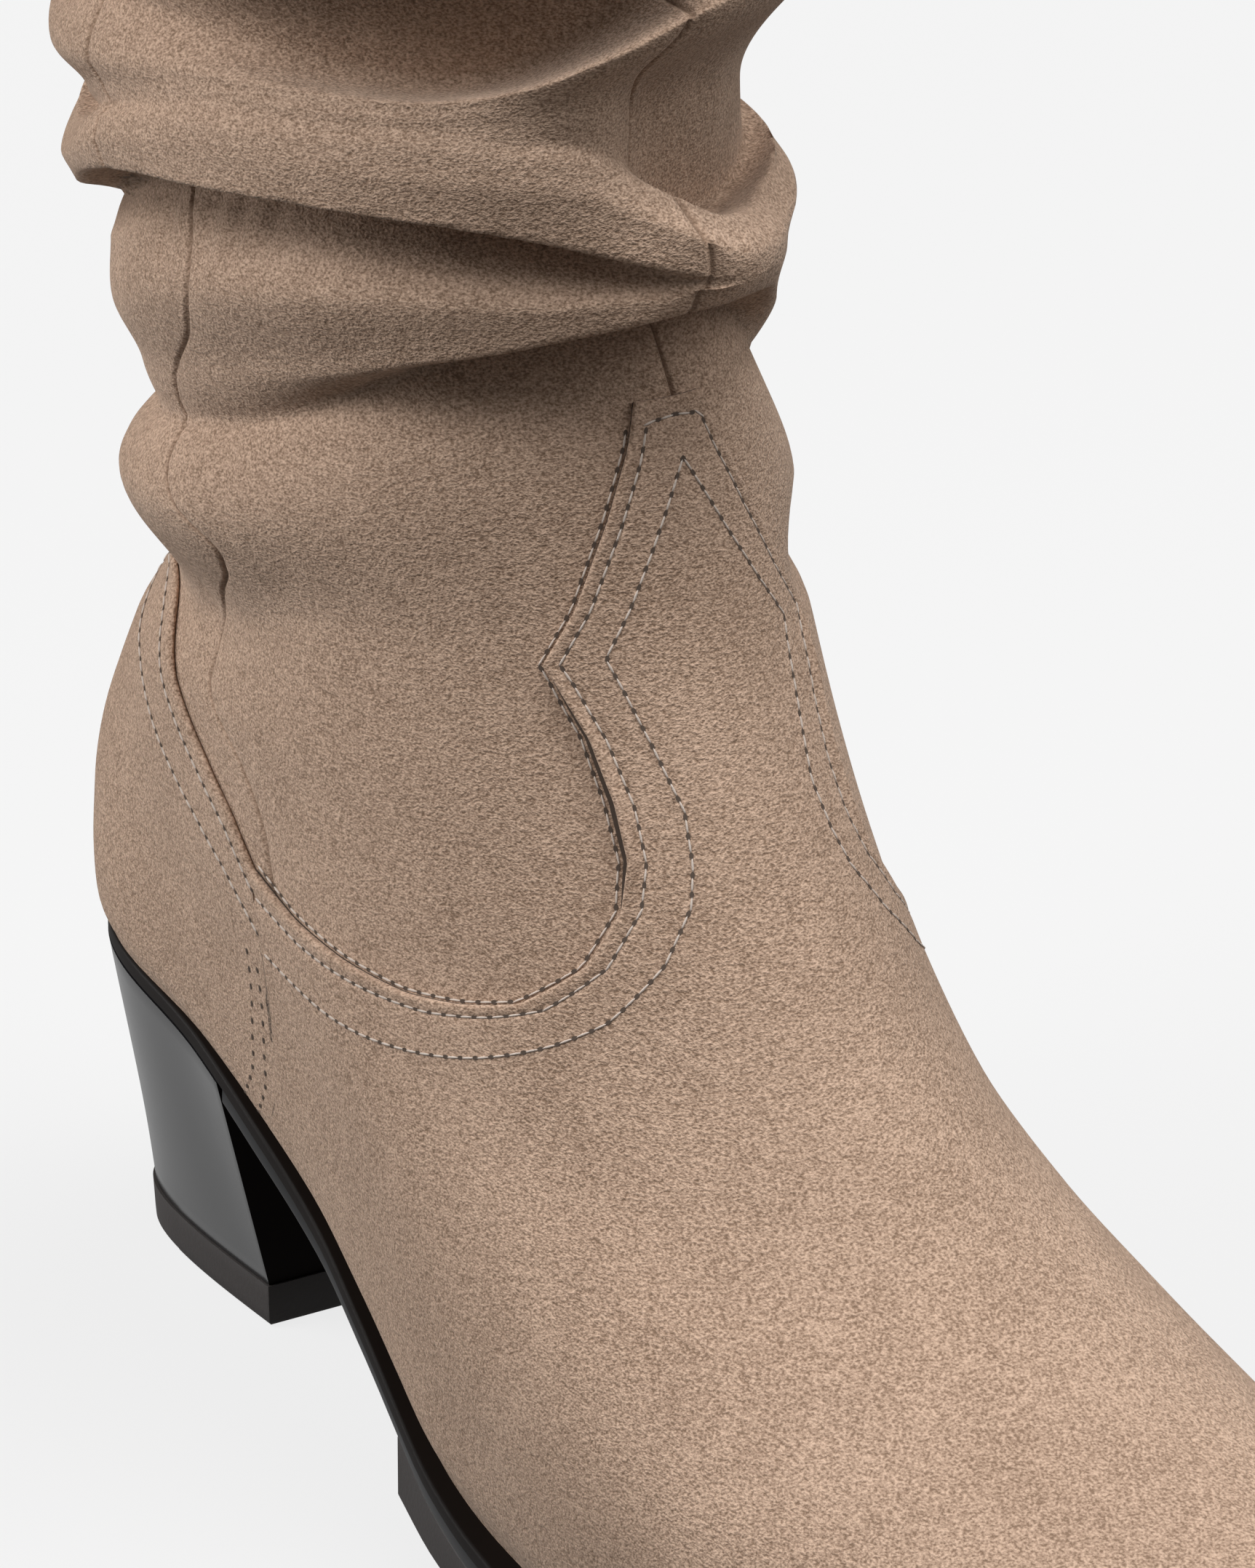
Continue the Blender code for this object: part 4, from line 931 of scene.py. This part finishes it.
class BOOT_OT_vamp(bpy.types.Operator):
    """Vamp with its western tongue, laid over the upper"""

    bl_idname = "boot.vamp"
    bl_label = "Vamp"

    def execute(self, context):
        sizes = context.scene.boot_sizes
        face = sizes.overlay_face / MM
        back = sizes.overlay_back / MM
        channel = sizes.channel / MM
        lines = even_lines(VAMP_TABLE, 170)
        share = np.linspace(0, 1, len(lines[0]))
        foot = np.concatenate((np.linspace(0, 60, 13), np.linspace(66, JOIN_BEARING, 10)))
        low = np.interp(share, np.linspace(0, 1, len(foot)), foot)
        loops, factors = np.array(TONGUE_SPREAD).T
        high = lines[2] / np.interp(lines[3], loops, factors)
        bearings = []
        levels = []
        outs = []

        def foot_row(t, out):
            level = t * lines[3]
            bearings.append((low + (high - low) * t ** WALL_BEND) * np.interp(level, loops, factors))
            levels.append(level)
            outs.append(np.full_like(level, out))

        for t in np.linspace(0, 1, 64) ** ROW_CROWDING:
            foot_row(t, face)
        lift = edge_gape(lines[4]) * sizes.edge_lift / MM
        for part, place in VAMP_BAND:
            bearing, level = band_point(lines, part)
            out = back + (face - back) * place
            if place == 1.0:
                out -= channel * math.exp(-((part - ROW_TWO) / CHANNEL_REACH) ** 2)
            bearings.append(bearing)
            levels.append(level)
            outs.append(out + lift * math.exp(-(part / GAPE_ROLL) ** 2))
        for t in np.linspace(1, 0, 14)[1:] ** ROW_CROWDING:
            foot_row(t, back)
        overlay("vamp_suede", "vamp", mirrored(np.array(levels), True),
                mirrored(-np.array(bearings), False), mirrored(np.array(outs), True))
        return {"FINISHED"}


def counter_point(lines, t):
    """Bearing and loop on the counter from the feather line, at 0, to its edge, at 1."""
    low = np.linspace(JOIN_BEARING - COUNTER_LAP, 180, len(lines[0]))
    return low + (lines[0] - low) * t ** WALL_BEND, t * lines[1]


class BOOT_OT_counter(bpy.types.Operator):
    """Heel counter, laid over the back of the upper"""

    bl_idname = "boot.counter"
    bl_label = "Counter"

    def execute(self, context):
        sizes = context.scene.boot_sizes
        face = sizes.overlay_face / MM - COUNTER_SINK
        back = sizes.overlay_back / MM
        lines = even_lines(COUNTER_TABLE, 90)
        rows = [(t, 1.0) for t in np.linspace(0, 0.95, 40)]
        rows += list(COUNTER_RIM)
        rows += [(t, 0.0) for t in np.linspace(0.95, 0, 12)]
        bearings = []
        levels = []
        outs = []
        for t, place in rows:
            bearing, level = counter_point(lines, t)
            bearings.append(np.concatenate((-bearing, bearing[-2::-1])))
            levels.append(np.concatenate((level, level[-2::-1])))
            outs.append(np.full(2 * len(bearing) - 1, back + (face - back) * place))
        overlay("counter_suede", "counter", np.array(levels), np.array(bearings), np.array(outs))
        return {"FINISHED"}


def stitch(bm, points, normals, sizes, thread):
    """Dark discs of painted needle-hole shade, and the thread between them where it shows, along a fine
    path of metres.
    """
    run = np.concatenate(([0], np.cumsum(np.linalg.norm(np.diff(points, axis=0), axis=1))))
    pitch = sizes.stitch_pitch

    def at(path, length):
        return Vector([np.interp(length, run, path[:, c]) for c in range(3)])

    for k in range(int(run[-1] / pitch)):
        for middle, hole_shade in (((k + 0.5) * pitch, False), (k * pitch, True)):
            low = at(points, middle - STITCH_REACH * MM)
            high = at(points, middle + STITCH_REACH * MM)
            along = (high - low).normalized()
            across = at(normals, middle).normalized().cross(along).normalized()
            out = along.cross(across)
            turn = Matrix((along, across, out)).transposed().to_4x4()
            lift = Matrix.Translation((low + high) / 2 + out * (HOLE_LIFT if hole_shade else THREAD_LIFT) * MM)
            if hole_shade:
                made = bmesh.ops.create_circle(bm, cap_ends=True, segments=8, radius=sizes.hole_width / 2,
                                               matrix=lift @ turn @ Matrix.Diagonal((*HOLE_STRETCH, 1, 1)))
                for face in {f for v in made["verts"] for f in v.link_faces}:
                    face.material_index = 1
            elif thread:
                size = Matrix.Diagonal((sizes.stitch_length, sizes.thread_width, sizes.thread_width, 1))
                bmesh.ops.create_uvsphere(bm, u_segments=8, v_segments=5, radius=0.5,
                                          matrix=lift @ turn @ size)


def join_in(bm, part, material=None):
    """Add a finished bmesh to another, all of it in one material where one is given."""
    if material is not None:
        for face in part.faces:
            face.material_index = material
    mesh = bpy.data.meshes.new("part")
    part.to_mesh(mesh)
    part.free()
    bm.from_mesh(mesh)
    bpy.data.meshes.remove(mesh)


def stitch_line(bm, bearing, loop, out, sizes, thread=True):
    """Stitch row along bearings and loops of the outside of the foot, and the same on the inside."""
    for sign in (-1, 1):
        b = sign * np.asarray(bearing)
        points = placed(skin(loop, b, np.full(len(b), out)))
        row = bmesh.new()
        stitch(row, points, normal(folded, loop, b), sizes, thread)
        join_in(bm, row)


class BOOT_OT_stitching(bpy.types.Operator):
    """Stitch rows of vamp, counter and their join, and the painted shadow in the gap under the vamp's edge
    """

    bl_idname = "boot.stitching"
    bl_label = "Stitching"

    def execute(self, context):
        sizes = context.scene.boot_sizes
        colours = context.scene.boot_colours
        face = sizes.overlay_face / MM
        shaft = sizes.shaft_face / MM
        bm = bmesh.new()
        lines = even_lines(VAMP_TABLE, 600)
        gape = edge_gape(lines[4])
        bearing, loop = band_point(lines, ROW_ONE - GAPE_SHARE * gape)
        away = lines[4] > ROW_ONE_FROM
        stitch_line(bm, bearing[away], loop[away], shaft, sizes)
        # Painted shadow in the gap under the vamp's edge: a dark strip laid on the shaft beside the edge
        for sign in (-1, 1):
            gap_shadow_strip = []
            for share in (GAPE_TUCK + 0 * gape, -GAPE_SHARE * gape):
                bearing, loop = band_point(lines, share)
                gap_shadow_strip.append(skin(loop, sign * bearing, 0 * gape + shaft + GAPE_FLOOR))
            join_in(bm, unrolled(np.stack(gap_shadow_strip)), material=1)
        for share, out in ((ROW_TWO, face - sizes.channel / MM), (1.0, face)):
            bearing, loop = band_point(lines, share)
            stitch_line(bm, bearing, loop, out, sizes)
        rim = even_lines(COUNTER_TABLE, 300)
        for t in COUNTER_ROWS:
            bearing, loop = counter_point(rim, t)
            stitch_line(bm, bearing, loop, face, sizes)
        top_bearing, top_loop = VAMP_TABLE[-1, :2]
        t = np.linspace(*JOIN_SPAN, 200)
        for shift in JOIN_ROWS:
            bearing = JOIN_BEARING + shift + (top_bearing - JOIN_BEARING) * t ** WALL_BEND
            stitch_line(bm, bearing, t * top_loop, face, sizes, thread=False)
        thread = plain_nap("sewing thread", colours.thread, roughness=0.85, scale=3000.0, strength=0.4)
        # Painted shade for the needle holes and the gap under the vamp's edge
        hole_shade = plain_nap("needle hole", colours.hole_shade, roughness=0.95, scale=900.0, strength=0.1,
                         distance=0.0001)
        piece("stitching", bm, (thread, hole_shade))
        return {"FINISHED"}


def outline(bearings, offset):
    """Outside and inside points of the feather line, set out sideways by a curve or a size."""
    sides = []
    for sign in (-1, 1):
        b = sign * np.asarray(bearings, dtype=float)
        p = bare(np.zeros_like(b), b)
        n = normal(bare, np.zeros_like(b), b)
        n[:, 2] = 0
        n /= np.linalg.norm(n, axis=1, keepdims=True)
        size = offset if np.isscalar(offset) else curve(offset, p[:, 0])[:, None]
        sides.append(p + n * size)
    for end in (0, -1):
        if bearings[end] in (0, 180):
            sides[1][end] = sides[0][end]
    return np.stack(sides, axis=1)


def wrapped(rings, across, top=None, low=None):
    """Closed grid round a stack of rings: over the top, down the inside, underneath and up the outside.

    Height curves, where given, shape the top and the underside between the sides.
    """
    columns = []
    for ring, height, ends, side, others in ((rings[0], top, (0, 1), 1, rings[1:-1]),
                                             (rings[-1], low, (1, 0), 0, rings[-2:0:-1])):
        for t in np.linspace(*ends, across):
            p = ring[:, 0] + (ring[:, 1] - ring[:, 0]) * t
            if height:
                p[:, 2] = height(p[:, 0])
            columns.append(p)
        columns += [other[:, side] for other in others]
    columns.append(columns[0])
    return np.stack(columns, axis=1)


def plate(name, bearings, edges, material, node):
    """Plate that follows the sole."""
    rings = []
    for offset, height in edges:
        ring = outline(bearings, offset)
        ring[..., 2] = height(ring[..., 0])
        rings.append(ring)
    bm = unrolled(wrapped(rings, across=9, top=edges[0][1], low=edges[-1][1]))
    bmesh.ops.dissolve_degenerate(bm, edges=bm.edges, dist=MERGE_LENGTH / 2)
    close(bm)
    return piece(name, bm, (material,), (node,), sharp=50)


def bearing_of(x):
    """Bearing on the feather line at a distance along the foot."""
    back, front = LOOPS[0][0], LOOPS[0][2]
    return float(180 - np.degrees(np.arccos(1 - 2 * (x - back) / (front - back))))


def shifted(table, by):
    """Table of pairs with its second column moved."""
    return [(x, size + by) for x, size in table]


def rounded_edges(ledge, top, low, radius):
    """Rings of a plate's edge from its top to its underside, with both corners rounded."""
    rings = []
    turns = np.linspace(0, math.pi / 2, 5)
    for face, sign, order in ((top, -1, turns), (low, 1, turns[::-1])):
        for turn in order:
            inset = radius * (1 - math.sin(turn))
            drop = sign * radius * (1 - math.cos(turn))
            rings.append((shifted(ledge, -inset), lambda x, face=face, drop=drop: face(x) + drop))
    return rings


def tread_floor(x):
    """Underside of the forefoot tread: nose, flat ball, toe spring."""
    start, end = TREAD_FLAT
    x = np.asarray(x, dtype=float)
    nose = TREAD_NOSE * np.clip((start - x) / (start - TREAD_START), 0, 2) ** NOSE_CURVE
    toe = TOE_SPRING * np.clip((x - end) / (LOOPS[0][2] - end), 0, 1.2) ** SPRING_CURVE
    return nose + toe


def rubber():
    """Dark rubber of tread and lift."""
    colours = bpy.context.scene.boot_colours
    return plain_nap("dark rubber", colours.rubber, roughness=0.62, scale=1500.0, strength=0.25)


class BOOT_OT_sole(bpy.types.Operator):
    """Welt, outsole, forefoot tread and insole"""

    bl_idname = "boot.sole"
    bl_label = "Sole"

    def execute(self, context):
        colours = context.scene.boot_colours
        lacquer = gloss("black sole lacquer", colours.heel, roughness=0.3, index=1.33, coat=0.1)
        edge = plain_nap("black edge dressing", colours.edge, roughness=0.55, scale=600.0, strength=0.08,
                         shine=0.12)
        foot_leather = plain_nap("insole leather", colours.lining, roughness=0.7, scale=900.0, strength=0.3)
        round_foot = np.concatenate([np.linspace(*span) for span in SOLE_SPANS])

        def as_far_as(x):
            end = bearing_of(x)
            return np.append(round_foot[round_foot < end - SOLE_CLEAR], end)

        def under_feather(drop):
            return lambda x: feather(x) - drop

        welt_low = WELT_DROP + WELT_THICK
        plate("welt_edge", round_foot,
              rounded_edges(WELT_LEDGE, under_feather(WELT_DROP), under_feather(welt_low), WELT_CORNER),
              edge, "welt")
        sole_top = welt_low + FIT_GAP
        sole_low = sole_top + SOLE_THICK
        plate("outsole_edge", as_far_as(SOLE_REAR),
              rounded_edges(shifted(WELT_LEDGE, -SOLE_INSET), under_feather(sole_top),
                            under_feather(sole_low), SOLE_CORNER),
              lacquer, "outsole")

        def tread_top(x):
            return np.maximum(feather(x) - sole_low - FIT_GAP, tread_floor(x) + TREAD_LEAST)

        plate("tread_rubber", as_far_as(TREAD_START),
              rounded_edges(shifted(WELT_LEDGE, -TREAD_INSET), tread_top, tread_floor, SOLE_CORNER),
              rubber(), "forefoot_tread")
        plate("insole_leather", round_foot,
              rounded_edges(((-20, -INSOLE_INSET), (280, -INSOLE_INSET)), under_feather(-INSOLE_THICK),
                            feather, INSOLE_CORNER),
              foot_leather, "insole")
        return {"FINISHED"}


def heel_foot(count):
    """Outline of the heel where it meets the lift: outside and inside points from breast to back."""
    t = np.linspace(0, 1, count)
    turn, fall, bow = HEEL_CURVE
    x = BREAST_FOOT - (BREAST_FOOT - HEEL_FOOT_BACK) * np.sin(t * np.pi / 2) ** turn
    half = HEEL_FOOT_HALF * np.maximum(0.0, 1 - t ** fall) ** bow
    ring = np.zeros((count, 2, 3))
    ring[..., 0] = x[:, None]
    ring[:, 0, 1] = -half
    ring[:, 1, 1] = half
    ring[-1, :, 1] = 0
    return ring


def block(name, rings, materials, node, corner):
    """Solid from a stack of rings, its sharp edges broken and its breast in the last of the materials."""
    bm = unrolled(wrapped(rings, across=7))
    close(bm)
    bm.normal_update()
    sharp = [e for e in bm.edges if len(e.link_faces) == 2 and e.calc_face_angle(0) > math.radians(50)]
    bmesh.ops.bevel(bm, geom=sharp, offset=corner * MM, offset_type="OFFSET", affect="EDGES", segments=3,
                    profile=0.5, material=-1, clamp_overlap=True)
    bm.normal_update()
    for face in bm.faces:
        face.material_index = (len(materials) - 1) * (face.normal.x > BREAST_FACING)
    return piece(name, bm, materials, (node,), sharp=40)


class BOOT_OT_heel(bpy.types.Operator):
    """Lacquered block heel and its top lift"""

    bl_idname = "boot.heel"
    bl_label = "Heel"

    def execute(self, context):
        colours = context.scene.boot_colours
        lacquer = gloss("black lacquer", colours.heel, roughness=0.22)
        matt = plain_nap("black breast", colours.edge, roughness=0.6, scale=600.0, strength=0.08,
                         shine=0.05)
        count = 60
        bearings = np.linspace(bearing_of(BREAST_TOP), 180, count)
        top = outline(bearings, WELT_LEDGE)
        top[..., 2] = feather(top[..., 0]) - WELT_DROP - WELT_THICK - FIT_GAP
        foot = heel_foot(count)
        turn = np.linspace(0, 1, count)
        rings = []
        for t in np.linspace(0, 1, 15):
            floor = foot * 1.0
            floor[..., 2] = LIFT_THICK + FIT_GAP
            ring = top + (floor - top) * t
            swell = ring[..., :2] - (BREAST_FOOT, 0)
            swell /= np.linalg.norm(swell, axis=-1, keepdims=True)
            ring[..., :2] += HEEL_FULLNESS * 4 * t * (1 - t) * swell * turn[:, None, None]
            rings.append(ring)
        block("heel_lacquer", rings, (lacquer, matt), "heel_block", HEEL_CORNER)
        lift = []
        for z, grow in LIFT_RINGS:
            ring = foot * 1.0
            middle = ring.mean(axis=(0, 1))
            ring[..., 0] += grow * np.sign(ring[..., 0] - middle[0])
            ring[..., 1] *= (HEEL_FOOT_HALF + grow) / HEEL_FOOT_HALF
            ring[..., 2] = z
            lift.append(ring)
        block("lift_rubber", lift, (rubber(),), "top_lift", LIFT_CORNER)
        return {"FINISHED"}


class BOOT_OT_stage(bpy.types.Operator):
    """Pale floor, soft studio light and the camera"""

    bl_idname = "boot.stage"
    bl_label = "Stage"

    def soft_light(self, name, power, place, aim):
        """Square light from a place towards a point."""
        data = bpy.data.lights.new(name, "AREA")
        data.energy = power
        data.size = SOFT_SIZE
        data.spread = math.radians(SOFT_SPREAD)
        obj = bpy.data.objects.new(name, data)
        bpy.context.scene.collection.objects.link(obj)
        obj.location = place
        obj.rotation_euler = (Vector(aim) - Vector(place)).to_track_quat("-Z", "Y").to_euler()

    def broad_light(self, name, strength, spread, towards):
        """Even light from a wide patch of the sky, its spread in degrees."""
        data = bpy.data.lights.new(name, "SUN")
        data.energy = strength
        data.angle = math.radians(spread)
        obj = bpy.data.objects.new(name, data)
        bpy.context.scene.collection.objects.link(obj)
        obj.rotation_euler = Vector(towards).to_track_quat("Z", "Y").to_euler()

    def execute(self, context):
        scene = context.scene
        stage = scene.boot_stage
        material, shader = new_material("studio floor", scene.boot_colours.floor, roughness=0.9)
        shader.inputs["Specular IOR Level"].default_value = 0.0
        shader.inputs["Emission Color"].default_value = (1, 1, 1, 1)
        tree = material.node_tree
        rays = tree.nodes.new("ShaderNodeLightPath")
        mirrored_part = math_node(tree, "MULTIPLY", rays.outputs["Is Glossy Ray"], stage.mirrored)
        seen = math_node(tree, "MAXIMUM", rays.outputs["Is Camera Ray"], mirrored_part)
        link(tree, math_node(tree, "MULTIPLY", seen, stage.glow), shader.inputs["Emission Strength"])
        bm = bmesh.new()
        bmesh.ops.create_grid(bm, x_segments=12, y_segments=12, size=FLOOR_REACH)
        mesh = bpy.data.meshes.new("floor")
        bm.to_mesh(mesh)
        bm.free()
        mesh.materials.append(material)
        floor = bpy.data.objects.new("floor", mesh)
        scene.collection.objects.link(floor)
        floor.location.z = -FLOOR_DROP

        world = bpy.data.worlds.new("studio")
        world.use_nodes = True
        sky = world.node_tree.nodes["Background"]
        sky.inputs["Color"].default_value = (1, 1, 1, 1)
        sky.inputs["Strength"].default_value = stage.sky
        scene.world = world
        for name, spread, towards in BROAD_LIGHTS:
            self.broad_light(name, getattr(stage, name), spread, towards)
        for name, place, aim in SOFT_LIGHTS:
            self.soft_light(name, getattr(stage, name), place, aim)

        turn = math.radians(CAMERA_TURN)
        rise = math.radians(CAMERA_RISE)
        back = Vector((math.cos(rise) * math.cos(turn), -math.cos(rise) * math.sin(turn), math.sin(rise)))
        data = bpy.data.cameras.new("camera")
        data.lens = CAMERA_LENS
        data.clip_end = SIGHT
        camera = bpy.data.objects.new("camera", data)
        scene.collection.objects.link(camera)
        target = Vector(placed(CAMERA_TARGET))
        camera.location = target + back * CAMERA_DISTANCE * MM
        camera.rotation_euler = back.to_track_quat("Z", "Y").to_euler()
        scene.camera = camera
        scene.view_settings.view_transform = "Standard"
        return {"FINISHED"}


class BOOT_PT_panel(bpy.types.Panel):
    """Buttons for the boot's pieces"""

    bl_label = "Boot"
    bl_idname = "BOOT_PT_panel"
    bl_space_type = "VIEW_3D"
    bl_region_type = "UI"
    bl_category = "Boot"

    def draw(self, context):
        for operator in PIECES:
            self.layout.operator(operator.bl_idname)
        for group in (context.scene.boot_sizes, context.scene.boot_colours, context.scene.boot_stage):
            column = self.layout.column()
            for name in group.__annotations__:
                column.prop(group, name)


PIECES = (BOOT_OT_stage, BOOT_OT_upper, BOOT_OT_vamp, BOOT_OT_counter, BOOT_OT_stitching, BOOT_OT_sole,
          BOOT_OT_heel)
GROUPS = (("boot_sizes", BootSizes), ("boot_colours", BootColours), ("boot_stage", BootStage))


def register():
    for name, group in GROUPS:
        bpy.utils.register_class(group)
        setattr(bpy.types.Scene, name, PointerProperty(type=group))
    for cls in (*PIECES, BOOT_PT_panel):
        bpy.utils.register_class(cls)


def unregister():
    for cls in (BOOT_PT_panel, *PIECES[::-1]):
        bpy.utils.unregister_class(cls)
    for name, group in GROUPS[::-1]:
        delattr(bpy.types.Scene, name)
        bpy.utils.unregister_class(group)


def main():
    """Make every piece in order."""
    register()
    for operator in PIECES:
        group, name = operator.bl_idname.split(".")
        getattr(getattr(bpy.ops, group), name)()
    bpy.context.view_layer.update()


if __name__ == "__main__":
    main()
